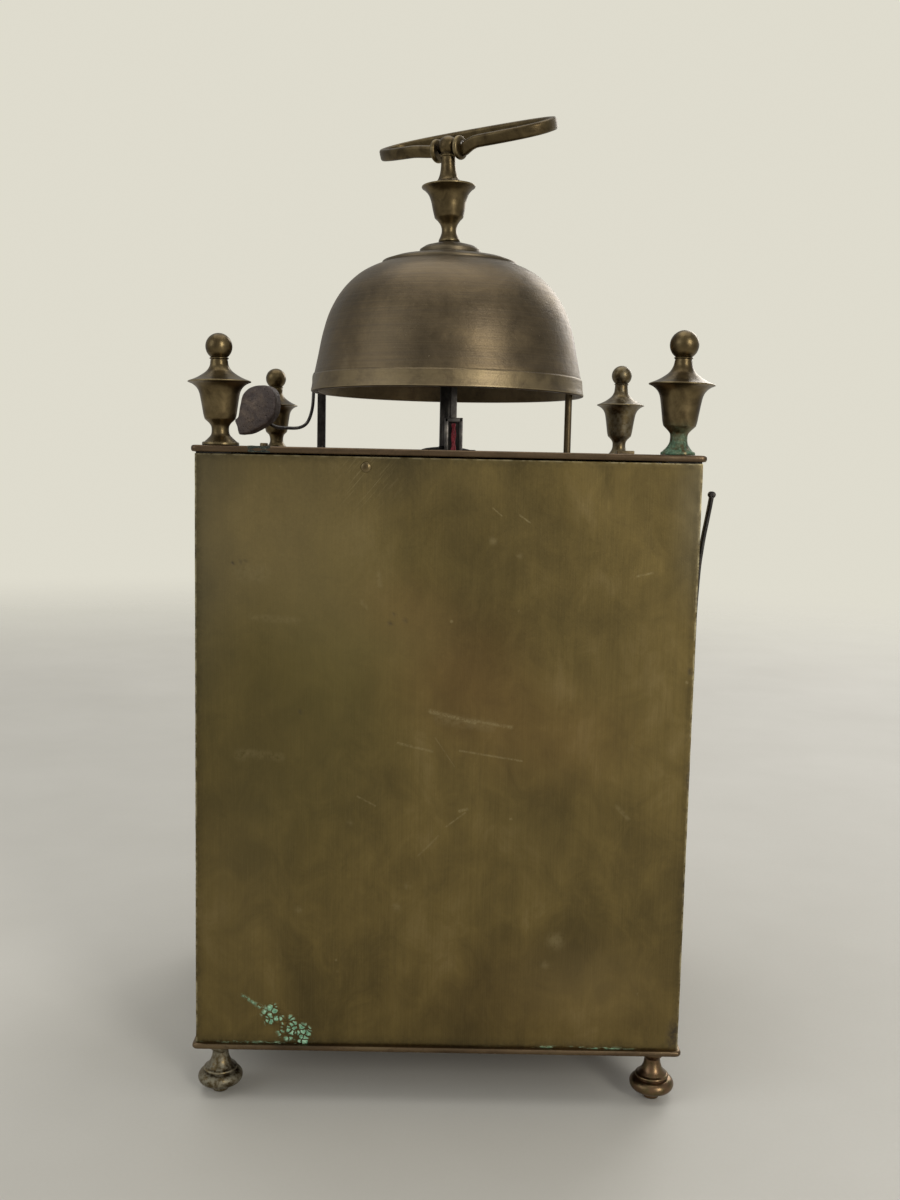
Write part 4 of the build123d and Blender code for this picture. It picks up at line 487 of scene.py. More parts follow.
def solder(name):
    m = Mat(name)
    n = m.noise(m.stretch(1.6, 1.6, 1.6), 1.0, 5.0, 0.7)
    v = m.noise(m.stretch(4.5, 4.5, 4.5, (3, 1, 4)), 1.0, 4.0, 0.7)
    col = m.ramp(n, [(0.34, lin(22, 26, 24)), (0.5, lin(46, 52, 44)), (0.64, lin(92, 96, 80))])
    spk = m.rng(v, 0.60, 0.66)
    col = m.mix(spk, col, lin(186, 188, 170))
    m.link(m.rng(n, 0.4, 0.6, 0.2, 0.8), m.b.inputs["Metallic"])
    return m.set(Base_Color=col, Roughness=m.rng(n, 0.3, 0.7, 0.65, 0.35), Normal=m.bump(m.ma("ADD", n, v), 0.0004, 0.8))


M = {
    "back": case_sheet("old_sheet_brass_back", features=True),
    "side": case_sheet("old_sheet_brass_side", axis="yz", seed=11.0),
    "front": case_sheet("old_sheet_brass_front", seed=23.0),
    "top": plate_brass("top_plate_brass"),
    "bottom": plate_brass("bottom_plate_brass", tone=1.15, red=0.15, seed=7.0, bright=0.5),
    "bell": bell_metal("bell_bronze"),
    "fin": turned("turned_brass"),
    "fin_bl": turned("turned_brass_a", seed=2.0, tone=1.0),
    "fin_br": turned("turned_brass_b", seed=5.0, verdigris=0.9, green_z=(ZT + 1.0, ZT + 9.5)),
    "fin_fl": turned("turned_brass_c", seed=8.0, tone=0.85),
    "fin_fr": turned("turned_brass_d", seed=13.0, tone=0.9, dust=0.25),
    "fin_bell": turned("turned_brass_e", seed=17.0, tone=0.95),
    "handle": turned("handle_brass", seed=21.0, tone=0.8, rough0=0.30),
    "foot_bl": turned("foot_brass_a", seed=31.0, tone=0.8, dust=0.55),
    "foot_br": turned("foot_brass_b", seed=37.0, tone=1.0, copper=0.6),
    "foot": turned("foot_brass_c", seed=41.0, tone=0.9),
    "steel": dark_steel("dark_steel"),
    "steel_post": dark_steel("dark_steel_post", tone=0.8, seed=3.0),
    "steel_brown": dark_steel("brown_steel", tone=1.0, brass=0.75, seed=5.0),
    "steel_bright": dark_steel("worn_steel", tone=2.6, rust=0.35, rough0=0.36, seed=9.0),
    "iron": rusty_iron("rusty_iron"),
    "movement": clean_brass("movement_brass"),
    "movement2": clean_brass("movement_brass_wheels", seed=4.0),
    "silk": silk("red_silk"),
    "enamel": enamel("white_enamel"),
    "paint": black_paint("dial_black"),
    "blued": blued("blued_steel"),
    "glass": crystal("crystal"),
    "solder": solder("old_solder"),
}

# every CAD node that stays in view gets a finished material
use = {
    "steel": ["movement_pillars", "seat_rails", "hammer_cocks", "mainsprings", "bezel_hinge", "going_arbor", "strike_arbor", "going_click",
              "strike_click", "pendulum_rod"],
    "steel_post": ["corner_posts", "hour_hammer_arbor", "door_pins"],
    "steel_brown": ["alarm_hammer"],
    "movement": ["movement_front_plate", "movement_back_plate", "pendulum_bob", "rating_nut"],
    "movement2": ["going_barrel", "strike_barrel", "centre_wheel", "third_wheel", "escape_wheel", "anchor", "cannon_pinion", "minute_wheel",
                  "hour_wheel", "pin_wheel", "locking_wheel", "fly", "count_wheel", "alarm_barrel"],
    "blued": ["minute_hand", "hour_hand"],
    "fin": ["alarm_hand", "bezel"],
    "top": ["top_plate"], "bottom": ["bottom_plate"], "front": ["front_plate"], "back": ["back_panel"],
    "side": ["side_door_left", "side_door_right"],
    "bell": ["bell"], "steel_bright": ["suspension_bracket", "handle_pin", "back_panel_screw"],
    "silk": ["silk_thread"], "iron": ["hour_hammer_head"], "enamel": ["dial"], "glass": ["dial_glass"],
}
for key, names in use.items():
    for n in names:
        o = nodes[n]
        o.data.materials.clear()
        o.data.materials.append(M[key])


# ------------------------------------------------------------------ mesh building blocks
def finish_mesh(name, me, mat, body, sharp=None, smooth=True):
    me.update()
    if smooth:
        me.polygons.foreach_set("use_smooth", [True] * len(me.polygons))
        if sharp:
            me.set_sharp_from_angle(angle=math.radians(sharp))
    me.materials.append(mat)
    o = bpy.data.objects.new(name, me)
    bpy.context.scene.collection.objects.link(o)
    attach(o, body)
    return o


def from_bmesh(name, bm, mat, body, sharp=None, smooth=True):
    me = bpy.data.meshes.new(name)
    bmesh.ops.recalc_face_normals(bm, faces=bm.faces)
    for v in bm.verts:
        v.co *= S
    bm.to_mesh(me)
    bm.free()
    return finish_mesh(name, me, mat, body, sharp, smooth)


def spl(pts, n=6, closed=False):
    """Smooth line through pts (centripetal Catmull-Rom)."""
    P = [Vector(p) for p in pts]
    if closed:
        P = [P[-1]] + P + [P[0], P[1]]
    else:
        P = [P[0] * 2 - P[1]] + P + [P[-1] * 2 - P[-2]]
    out = []
    for i in range(1, len(P) - 2):
        p0, p1, p2, p3 = P[i - 1:i + 3]
        t0 = 0.0
        t1 = t0 + max((p1 - p0).length, 1e-6) ** 0.5
        t2 = t1 + max((p2 - p1).length, 1e-6) ** 0.5
        t3 = t2 + max((p3 - p2).length, 1e-6) ** 0.5
        for k in range(n):
            t = t1 + (t2 - t1) * k / n
            a1 = p0 * ((t1 - t) / (t1 - t0)) + p1 * ((t - t0) / (t1 - t0))
            a2 = p1 * ((t2 - t) / (t2 - t1)) + p2 * ((t - t1) / (t2 - t1))
            a3 = p2 * ((t3 - t) / (t3 - t2)) + p3 * ((t - t2) / (t3 - t2))
            b1 = a1 * ((t2 - t) / (t2 - t0)) + a2 * ((t - t0) / (t2 - t0))
            b2 = a2 * ((t3 - t) / (t3 - t1)) + a3 * ((t - t1) / (t3 - t1))
            out.append(tuple(b1 * ((t2 - t) / (t2 - t1)) + b2 * ((t - t1) / (t2 - t1))))
    if not closed:
        out.append(tuple(P[-2]))
    return out


def chain(*parts):
    out = []
    for p in parts:
        for q in p:
            if not out or (Vector(q) - Vector(out[-1])).length > 1e-4:
                out.append(tuple(q))
    return out


def arc(cx, cz, r, a0, a1, n=14):
    return [(cx + r * math.cos(math.radians(a0 + (a1 - a0) * k / n)), cz + r * math.sin(math.radians(a0 + (a1 - a0) * k / n))) for k in range(n + 1)]


def soften(prof, d=0.18, limit=25.0):
    """Replaces each hard corner of a profile by a tiny rounding."""
    P = [Vector(p) for p in prof]
    out = [P[0]]
    for i in range(1, len(P) - 1):
        a, b = P[i] - P[i - 1], P[i + 1] - P[i]
        if a.length < 1e-5 or b.length < 1e-5 or math.degrees(a.angle(b)) < limit:
            out.append(P[i])
            continue
        k = min(d, a.length * 0.45, b.length * 0.45)
        p, q = P[i] - a.normalized() * k, P[i] + b.normalized() * k
        for t in (0.0, 0.33, 0.67, 1.0):
            out.append(p * (1 - t) ** 2 + P[i] * (2 * t * (1 - t)) + q * t ** 2)
    out.append(P[-1])
    return [tuple(v) for v in out]


def hollow_of(prof, reach=1.1):
    """Signed hollowness of each profile point in millimetres: above 0 in a groove, below 0 on a rim."""
    P = [Vector(p) for p in prof]
    n = len(P)
    L = [0.0]
    for i in range(1, n):
        L.append(L[-1] + (P[i] - P[i - 1]).length)
    out = []
    for i in range(n):
        acc, w = Vector((0, 0)), 0.0
        for j in range(n):
            if abs(L[j] - L[i]) < reach:
                seg = (L[min(j + 1, n - 1)] - L[max(j - 1, 0)]) / 2
                acc += P[j] * seg
                w += seg
        t = P[min(i + 1, n - 1)] - P[max(i - 1, 0)]
        nrm = Vector((t.y, -t.x)).normalized() if t.length > 1e-6 else Vector((1, 0))
        out.append((acc / max(w, 1e-9) - P[i]).dot(nrm) if 0 < i < n - 1 else 0.0)
    return out


def axes_for(axis):
    a = Vector(axis).normalized()
    x = Vector((1, 0, 0)) - a * a.x
    if x.length < 0.2:
        x = Vector((0, 0, 1)) - a * a.z
    x.normalize()
    return x, a.cross(x), a


def revolve(name, prof, origin, axis, mat, body, seg=None, wobble=0.0, sharp=40, seed=0.0, reach=1.1):
    """Turned piece: profile points are (radius, height along axis), in millimetres, going up the outside."""
    seg = seg or SEG
    x, y, a = axes_for(axis)
    o = Vector(origin)
    verts, faces, hol = [], [], []
    hl = hollow_of(prof, reach)
    rows = []
    for (r, h), g in zip(prof, hl):
        if r < 1e-4:
            rows.append([len(verts)])
            verts.append(o + a * h)
            hol.append(g)
            continue
        row = []
        for k in range(seg):
            t = 2 * math.pi * k / seg
            rr = r
            if wobble:
                rr += wobble * noise.noise(Vector((math.cos(t) * 1.3, math.sin(t) * 1.3, h * 0.05 + seed)))
            row.append(len(verts))
            verts.append(o + x * (rr * math.cos(t)) + y * (rr * math.sin(t)) + a * h)
            hol.append(g)
        rows.append(row)
    for p, q in zip(rows, rows[1:]):
        if len(p) == 1 and len(q) == 1:
            continue
        for k in range(seg):
            k2 = (k + 1) % seg
            if len(p) == 1:
                faces.append((p[0], q[k2], q[k]))
            elif len(q) == 1:
                faces.append((p[k], p[k2], q[0]))
            else:
                faces.append((p[k], p[k2], q[k2], q[k]))
    me = bpy.data.meshes.new(name)
    me.from_pydata([v * S for v in verts], [], faces)
    at = me.attributes.new("groove", "FLOAT", "POINT")
    at.data.foreach_set("value", hol)
    return finish_mesh(name, me, mat, body, sharp)


def tube(name, pts, r, mat, body, sides=14, caps=True, section=None, frame_up=None, closed=False, sharp=50):
    """Rod or strap swept along pts. section is a list of (side, up) offsets; otherwise a circle of radius r."""
    P = [Vector(p) for p in pts]
    n = len(P)
    sec = section or [(r * math.cos(2 * math.pi * k / sides), r * math.sin(2 * math.pi * k / sides)) for k in range(sides)]
    verts, faces = [], []
    prev = None
    for i, p in enumerate(P):
        if closed:
            t = (P[(i + 1) % n] - P[i - 1]).normalized()
        else:
            t = (P[min(i + 1, n - 1)] - P[max(i - 1, 0)]).normalized()
        if frame_up is not None:
            w = Vector(frame_up)
        elif prev is None:
            w = Vector((0, 0, 1)) if abs(t.z) < 0.9 else Vector((0, 1, 0))
        else:
            w = prev
        w = (w - t * w.dot(t)).normalized()
        s = t.cross(w).normalized()
        prev = w
        rad = r(i / (n - 1)) if callable(r) else 1.0
        for a, b in sec:
            verts.append(p + s * (a * (rad if callable(r) else 1.0)) + w * (b * (rad if callable(r) else 1.0)))
    m = len(sec)
    for i in range(n if closed else n - 1):
        j = (i + 1) % n
        for k in range(m):
            k2 = (k + 1) % m
            faces.append((i * m + k, i * m + k2, j * m + k2, j * m + k))
    if caps and not closed:
        faces.append(tuple(reversed(range(m))))
        faces.append(tuple((n - 1) * m + k for k in range(m)))
    me = bpy.data.meshes.new(name)
    me.from_pydata([v * S for v in verts], [], faces)
    at = me.attributes.new("groove", "FLOAT", "POINT")
    at.data.foreach_set("value", [0.0] * len(verts))
    bm = bmesh.new()
    bm.from_mesh(me)
    bmesh.ops.recalc_face_normals(bm, faces=bm.faces)
    bm.to_mesh(me)
    bm.free()
    return finish_mesh(name, me, mat, body, sharp)


def round_rect(w, h, r, n=4):
    """Rounded rectangle section, anticlockwise."""
    out = []
    for cx, cz, a in ((w / 2 - r, h / 2 - r, 0), (-w / 2 + r, h / 2 - r, 90), (-w / 2 + r, -h / 2 + r, 180), (w / 2 - r, -h / 2 + r, 270)):
        for k in range(n + 1):
            t = math.radians(a + 90 * k / n)
            out.append((cx + r * math.cos(t), cz + r * math.sin(t)))
    return out


def slab(name, x0, x1, y0, y1, z0, z1, mat, body, bev=0.2, seg=2, cuts=0, jitter=0.0, seed=0.0):
    """Box with rounded edges, in millimetres."""
    bm = bmesh.new()
    bmesh.ops.create_cube(bm, size=1.0)
    for v in bm.verts:
        v.co = Vector(((x0 + x1) / 2 + v.co.x * (x1 - x0), (y0 + y1) / 2 + v.co.y * (y1 - y0), (z0 + z1) / 2 + v.co.z * (z1 - z0)))
    if bev:
        bmesh.ops.bevel(bm, geom=bm.edges[:], offset=bev, segments=seg, profile=0.6, affect="EDGES")
    if cuts:
        bmesh.ops.subdivide_edges(bm, edges=bm.edges[:], cuts=cuts, use_grid_fill=True)
    if jitter:
        for v in bm.verts:
            v.co += Vector((noise.noise(v.co * 0.7 + Vector((seed, 0, 0))), noise.noise(v.co * 0.7 + Vector((0, seed, 5))),
                            noise.noise(v.co * 0.7 + Vector((3, 0, seed))))) * jitter
    return from_bmesh(name, bm, mat, body, sharp=40)


def swap(piece, node):
    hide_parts(node)
    return piece


# ------------------------------------------------------------------ bell, its nut and pillar
BX = 0.75
bell_out = spl([(40.25, 17.5), (40.0, 18.9), (39.78, 21.2)], 5)
bell_body = spl([(39.30, 22.3), (38.3, 27.0), (36.87, 33.9), (34.83, 40.3), (31.4, 46.2), (26.9, 50.7), (23.2, 52.9), (20.1, 54.15)], 10)
bell_in = spl([(37.4, 22.3), (36.5, 27.0), (35.07, 33.4), (33.0, 39.3), (29.7, 44.7), (25.3, 48.9), (19.8, 51.8), (12.0, 53.4)], 7)
prof = chain(reversed(bell_in[:]), [(38.2, 17.0), (38.5, 16.92), (39.9, 16.92), (40.3, 17.05)], bell_out, [(39.74, 21.55), (39.5, 21.75), (39.36, 21.85), (39.32, 22.1)],
             bell_body, [(19.9, 54.3), (19.9, 54.98), (17.0, 56.0), (12.5, 56.85), (9.1, 57.45), (8.95, 57.6), (8.95, 58.85), (7.4, 59.85), (3.4, 60.95), (1.35, 60.98)])
prof = soften(prof, 0.22)
swap(revolve("bell_shell", prof, (BX, 0, ZT), (0, 0, 1), M["bell"], "clock_case", seg=SEG * 2, wobble=0.10, reach=0.8), "bell")

nut_axis = Vector((1.99 - 1.05, 0.0, 88.45 - 61.0))
BALL_H = nut_axis.length
prof = chain([(0, 0.15), (3.05, 0.15)], [(3.15, 0.35)], spl([(3.15, 0.7), (2.55, 2.0), (2.19, 3.4), (2.45, 5.0), (3.3, 6.3)], 6),
             [(4.15, 7.1)], spl([(4.25, 7.35), (4.75, 9.6), (5.15, 11.8), (5.9, 13.8), (6.9, 15.0), (7.82, 15.72)], 7), [(7.86, 15.95), (7.78, 16.12)],
             spl([(7.55, 16.2), (5.2, 16.6), (3.4, 17.6), (2.55, 19.4), (2.15, 22.0), (2.15, 24.25)], 8),
             [(2.45, 24.45), (2.5, 24.6), (2.2, 24.9)], [(2.02, BALL_H - 2.25)],
             arc(0, BALL_H, 2.85, -46, 90, 18)[:-1], [(0, BALL_H + 2.85)])
swap(revolve("bell_nut", soften(prof, 0.15), (1.05, 0, ZT + 61.0), nut_axis, M["fin_bell"], "clock_case", seg=SEG), "bell_finial")

prof = chain([(0, -2.6), (2.8, -2.6), (3.0, -2.4), (3.0, -1.75), (1.9, -1.7), (1.9, 0.02), (7.9, 0.02), (8.0, 0.4)],
             spl([(7.8, 0.62), (6.6, 1.1), (4.2, 1.5), (2.3, 1.68)], 4), [(2.1, 1.95), (2.1, 53.6), (1.2, 53.6), (1.2, 64.4), (0, 64.5)])
swap(revolve("bell_post", soften(prof, 0.12), (BX, 0, ZT), (0, 0, 1), M["steel_post"], "clock_case", seg=64), "bell_pillar")


# ------------------------------------------------------------------ finials
def finial(name, node, sx, sy, total, flange_h, flange_r, ball_r, base_r, lean, az, mat):
    c, j = flange_r / 8.4, (total - flange_h) / 13.7
    low = [(base_r, 0.45), (base_r * 0.93, 0.95), (base_r * 0.72, 1.9), (2.38, 3.0), (2.2, 4.1), (2.31, 5.4), (3.0 * c, 6.3), (4.1 * c, 7.35),
           (4.38 * c, 8.4), (4.76 * c, 10.9), (5.14 * c, 13.3), (5.5 * c, 14.95), (6.1 * c, 16.1), (7.2 * c, 17.1), (flange_r, 17.65)]
    low = [(r, 0.45 + (z - 0.45) * (flange_h - 0.6) / 17.2) for r, z in low]
    cb = total - ball_r
    neck = cb - (ball_r ** 2 - 2.05 ** 2) ** 0.5
    up_ = [(flange_r - 0.25, flange_h + 0.18), (6.35 * c, flange_h + 0.95 * j), (4.6 * c, flange_h + 2.0 * j), (3.3 * c, flange_h + 3.1 * j),
           (2.5 * c, flange_h + 4.5 * j), (2.2, flange_h + 5.8 * j), (2.1, neck - 0.55)]
    prof = chain([(0, 0.45)], low[:2], spl(low[1:7], 6), spl(low[7:], 6), [(flange_r + 0.02, flange_h - 0.02), (flange_r - 0.08, flange_h + 0.12)],
                 spl(up_, 8), [(2.42, neck - 0.34), (2.42, neck - 0.2), (2.1, neck - 0.02)],
                 arc(0, cb, ball_r, -math.degrees(math.acos(2.05 / ball_r)), 90, 20)[:-1], [(0, total)])
    l, a = math.radians(lean), math.radians(az)
    axis = (math.sin(l) * math.cos(a), math.sin(l) * math.sin(a), math.cos(l))
    x, y = sx * CX, sy * CY
    o = revolve(name, soften(prof, 0.14), (x, y, ZT), axis, mat, "clock_case", seg=SEG, wobble=0.03, seed=total)
    base = revolve(name + "_base", soften([(0, -10.9), (1.45, -10.9), (1.5, -10.7), (1.5, 0.02), (base_r + 0.05, 0.02), (base_r + 0.2, 0.2), (base_r + 0.15, 0.72),
                                           (base_r - 0.1, 0.9), (0, 0.9)], 0.1), (x, y, ZT), (0, 0, 1), mat, "clock_case", seg=SEG)
    swap(o, node)
    swap(base, node)
    return o


finial("urn_back_left", "finial_back_left", 1, 1, 28.2, 16.1, 7.95, 3.37, 4.5, 1.0, 10, M["fin_bl"])
finial("urn_back_right", "finial_back_right", -1, 1, 31.5, 17.9, 8.4, 3.68, 4.2, 1.2, 175, M["fin_br"])
finial("urn_front_left", "finial_front_left", 1, -1, 27.6, 15.2, 7.2, 3.38, 4.2, 0.8, 5, M["fin_fl"])
finial("urn_front_right", "finial_front_right", -1, -1, 31.1, 17.8, 8.0, 3.36, 4.2, 0.3, 180, M["fin_fr"])

# ------------------------------------------------------------------ feet
foot_prof = chain([(0, 0)], spl([(1.0, 0.0), (1.75, 0.08), (2.1, 0.4), (2.15, 0.8)], 4), [(2.05, 1.6), (2.0, 2.25), (2.25, 2.42)], [(3.9, 2.42)],
                  arc(4.2, 4.15, 1.75, -90, 90, 18), [(4.18, 6.05)], arc(4.1, 6.5, 0.38, -70, 70, 6), [(4.0, 6.98)],
                  spl([(3.85, 7.05), (2.9, 8.2), (2.28, 9.8), (2.1, 11.1)], 7), [(2.25, 11.4), (2.9, 12.2)],
                  spl([(2.95, 12.3), (3.4, 12.6), (3.6, 13.1), (3.6, 14.38)], 4), [(1.5, 14.39), (1.5, 24.8), (0, 24.9)])
for nm, sx, sy, mat in (("foot_back_left", 1, 1, "foot_bl"), ("foot_back_right", -1, 1, "foot_br"), ("foot_front_left", 1, -1, "foot"), ("foot_front_right", -1, -1, "foot")):
    swap(revolve(nm, soften(foot_prof, 0.12), (sx * CX, sy * CY, 0), (0, 0, 1), M[mat], "clock_case", seg=SEG, reach=0.9), "feet")

# ------------------------------------------------------------------ carrying handle
yaw, elev = math.radians(36.0), math.radians(22.6)
e1 = Vector((-math.cos(yaw), math.sin(yaw), 0))
e2 = Vector((-math.sin(yaw), -math.cos(yaw), 0)) * math.cos(elev) + Vector((0, 0, 1)) * math.sin(elev)
e3 = e1.cross(e2)
BC = Vector((1.99, 0, ZT + 88.45))


def loop_at(u, v, w=0.0):
    return BC + e1 * u + e2 * v + e3 * w


LA, LB, LU = 29.0, 22.0, -1.0
half = []
for k in range(0, 121):
    t = -math.pi / 2 + 2 * math.pi * k / 120
    c, s = math.cos(t), math.sin(t)
    half.append((LU + LA * (abs(c) ** (2 / 2.6)) * (1 if c >= 0 else -1), LB / 2 + LB / 2 * (abs(s) ** (2 / 2.6)) * (1 if s >= 0 else -1)))
loop = [p for p in half if not (p[1] < LB * 0.3 and -5.0 < p[0] < 5.0)]
# the path starts at the right eye, steps out, runs round the loop and comes back to the left eye
path = [(4.05, 0.0), (4.6, 0.1), (5.1, 0.1)] + [p for p in loop if True] + [(-5.1, 0.1), (-4.6, 0.1), (-4.05, 0.0)]
path = [(path[0][0] + (path[3][0] - path[0][0]) * k / 8, 0.05) for k in range(8)] + path[3:-3] + [(path[-4][0] + (path[-1][0] - path[-4][0]) * k / 8, 0.05) for k in range(1, 9)]


def sag(u, v):
    """The ends of the strap bend down to the eyes: a little on the left, in a short S on the right."""
    if v > 6.0:
        return 0.0
    if u > 0:
        t = min(max((u - 4.6) / 4.4, 0.0), 1.0)
        return -1.75 * (1.0 - t * t * (3 - 2 * t))
    t = min(max((-u - 4.6) / 9.0, 0.0), 1.0)
    return -0.9 * (1.0 - t * t * (3 - 2 * t))


pts = [loop_at(u, v, sag(u, v)) for u, v in path]
sm = []
for i in range(len(pts)):
    a, b, c = pts[max(i - 1, 0)], pts[i], pts[min(i + 1, len(pts) - 1)]
    sm.append((a + b * 2 + c) / 4)
strap = tube("handle_strap", sm, 1.0, M["handle"], "handle", section=round_rect(2.25, 3.5, 0.85, 4), frame_up=e3, sharp=60)
swap(strap, "handle")
for s in (1, -1):
    prof = [(0.95, 0.0), (2.8, 0.0)] + arc(2.65, 0.75, 0.75, -80, 80, 8) + [(2.6, 1.52), (0.95, 1.55)]
    eye = revolve("handle_eye_right" if s > 0 else "handle_eye_left", prof, BC + e1 * (s * 3.25) - e3 * 0.95, e1 * s, M["handle"], "handle", seg=48)
    swap(eye, "handle")
prof = chain([(0, -5.4), (0.6, -5.35), (0.88, -5.15), (0.9, -5.0), (0.9, 5.0), (0.88, 5.15), (0.6, 5.35), (0, 5.4)])
swap(revolve("handle_pivot", prof, BC, e1, M["steel_bright"], "clock_case", seg=32), "handle_pin")

# ------------------------------------------------------------------ hour hammer
hy = math.radians(-14.0)
HX = Vector((math.cos(hy), math.sin(hy), 0))
HN = Vector((math.sin(hy), -math.cos(hy), 0))
HO = Vector((57.6, 7.0, ZT + 11.3))
outline = [(5.55, -3.4), (4.9, -5.0), (4.45, -6.7), (4.0, -7.4), (3.0, -7.35), (1.2, -7.05), (-1.2, -5.95), (-3.4, -4.75), (-4.7, -4.0), (-5.6, -3.0), (-6.65, -1.35),
           (-7.15, 1.0), (-7.1, 3.1), (-6.7, 4.75), (-5.5, 6.25), (-3.85, 6.85), (-1.0, 6.8), (1.2, 6.0), (2.95, 4.3), (3.7, 2.1), (4.15, -0.15), (4.55, -2.4)]
ring = spl([(x, z) for x, z in outline], 4, closed=True)
bm = bmesh.new()
layers = []
for d, g in ((0.03, 0.62), (0.14, 0.28), (0.45, 0.05), (1.4, 0.0), (2.5, 0.0), (3.6, 0.0), (4.5, 0.05), (4.84, 0.3), (4.97, 0.65)):
    row = []
    for x, z in ring:
        k = 1.0 - g / max(math.hypot(x, z), 1.0)
        p = HO + HX * (x * k) + Vector((0, 0, 1)) * (z * k) + HN * d
        q = p * 0.55
        p += Vector((noise.noise(q), noise.noise(q + Vector((7, 1, 3))), noise.noise(q + Vector((2, 9, 4))))) * 0.10
        row.append(bm.verts.new(p))
    layers.append(row)
for a, b in zip(layers, layers[1:]):
    for k in range(len(a)):
        bm.faces.new((a[k], a[(k + 1) % len(a)], b[(k + 1) % len(a)], b[k]))
bm.faces.new(layers[0])
bm.faces.new(list(reversed(layers[-1])))
bmesh.ops.triangulate(bm, faces=[f for f in bm.faces if len(f.verts) > 4])
bmesh.ops.subdivide_edges(bm, edges=[e for e in bm.edges if e.calc_length() > 1.6], cuts=1)
bmesh.ops.triangulate(bm, faces=[f for f in bm.faces if len(f.verts) > 4])
head = from_bmesh("hammer_head", bm, M["iron"], "hour_hammer", sharp=55)
swap(head, "hour_hammer_head")

AX, AY = 40.0, -20.0
wire = spl([(AX + 1.1, AY, ZT + 24.0), (AX + 1.9, AY + 0.2, ZT + 24.0), (AX + 2.35, AY + 0.7, ZT + 23.2), (AX + 2.4, AY + 1.4, ZT + 19.0),
            (AX + 2.7, AY + 2.9, ZT + 12.6), (43.9, -15.8, ZT + 8.7), (45.6, -12.2, ZT + 6.95), (49.2, -4.2, ZT + 6.4), (51.6, 1.2, ZT + 6.55), (53.1, 4.6, ZT + 7.4)], 8)
swap(tube("hammer_wire", wire, 0.5, M["steel"], "hour_hammer", sides=12), "hour_hammer_wire")

# ------------------------------------------------------------------ suspension bracket and silk
PX, PY = -1.3, 11.0
for k, sx in enumerate((-2.1, 2.1)):
    b = slab("bracket_cheek_" + ("a" if k == 0 else "b"), PX + sx - 0.525, PX + sx + 0.525, PY - 1.5, PY + 1.1, ZT + 0.02, ZT + 9.88, M["steel_bright"], "clock_case", 0.22, 2)
    swap(b, "suspension_bracket")
    b = slab("bracket_toe_" + ("a" if k == 0 else "b"), PX + sx * 2.14 - 2.0, PX + sx * 2.14 + 2.0, PY - 1.5, PY + 1.1, ZT + 0.02, ZT + 0.8, M["steel"], "clock_case", 0.2, 2)
    swap(b, "suspension_bracket")
b = slab("bracket_bar", PX - 2.6, PX + 2.6, PY - 1.5, PY + 1.1, ZT + 8.6, ZT + 9.9, M["steel_bright"], "clock_case", 0.25, 2)
swap(b, "suspension_bracket")
b = slab("bracket_web", PX - 2.1, PX + 2.1, PY - 1.5, PY - 1.1, ZT + 0.02, ZT + 9.0, M["steel_post"], "clock_case", 0.08, 1)
swap(b, "suspension_bracket")
b = slab("bracket_strip", PX - 0.8, PX + 0.8, PY - 0.7, PY + 0.3, ZT + 9.5, ZT + 19.95, M["steel_bright"], "clock_case", 0.2, 2)
swap(b, "suspension_bracket")
strand = []
for i, (ox, oy, ph) in enumerate(((-0.36, 0.0, 0.0), (0.36, 0.02, 2.1), (0.0, 0.12, 4.0))):
    p = [(PX + ox + 0.12 * math.sin(z * 1.5 + ph), PY + oy * 0.6 + 0.10 * math.cos(z * 1.5 + ph), ZT + 8.25 - z) for z in [k * 0.42 for k in range(51)] if ZT + 8.25 - z > F + 144.0]
    t = tube("silk_strand_" + "abc"[i], p, 0.3, M["silk"], "pendulum", sides=8)
    swap(t, "silk_thread")

# ------------------------------------------------------------------ back panel with its slight waviness
def smooth(v, a, b):
    t = np.clip((v - a) / (b - a), 0.0, 1.0)
    return t * t * (3.0 - 2.0 * t)


NX, NZ = 200, 243
x0, x1, z0, z1 = -XC, XC, F + 0.02, TU - 0.4
gx, gz = np.linspace(x0, x1, NX + 1), np.linspace(z0, z1, NZ + 1)
wave = np.array([[0.14 * noise.noise(Vector((x * 0.035, 4.0, z * 0.035))) + 0.05 * noise.noise(Vector((x * 0.11, 9.0, z * 0.11))) for z in gz] for x in gx])
side_wear = [0.10 * abs(noise.noise(Vector((2.0, 0.0, z * 0.12)))) for z in gz]
verts, ids = [], {}
for layer in (0, 1):
    for i, x in enumerate(gx):
        for k, z in enumerate(gz):
            if layer == 1 and 0 < i < NX and 0 < k < NZ:
                continue
            rim = min(i, NX - i, k, NZ - k)
            w = wave[i, k]
            y = (YC if layer == 0 else YC - 1.0) + min(w, 0.0) - abs(w) * 0.3
            if layer == 0 and rim == 0:
                y -= 0.12
            xx = x
            if i in (0, NX):
                xx = x - side_wear[k] * (1 if i == NX else -1)
            ids[layer, i, k] = len(verts)
            verts.append((xx * S, y * S, z * S))
faces = []
for i in range(NX):
    for k in range(NZ):
        faces.append((ids[0, i, k], ids[0, i, k + 1], ids[0, i + 1, k + 1], ids[0, i + 1, k]))
ring = [(i, 0) for i in range(NX)] + [(NX, k) for k in range(NZ)] + [(i, NZ) for i in range(NX, 0, -1)] + [(0, k) for k in range(NZ, 0, -1)]
for (i, k), (j, l) in zip(ring, ring[1:] + ring[:1]):
    faces.append((ids[0, i, k], ids[0, j, l], ids[1, j, l], ids[1, i, k]))
faces.append(tuple(ids[1, i, k] for i, k in ring))
me = bpy.data.meshes.new("back_sheet")
me.from_pydata(verts, [], faces)
bm = bmesh.new()
bm.from_mesh(me)
bmesh.ops.triangulate(bm, faces=[f for f in bm.faces if len(f.verts) > 4])
bmesh.ops.recalc_face_normals(bm, faces=bm.faces)
bm.to_mesh(me)
bm.free()
P = np.array(verts) * 1000.0
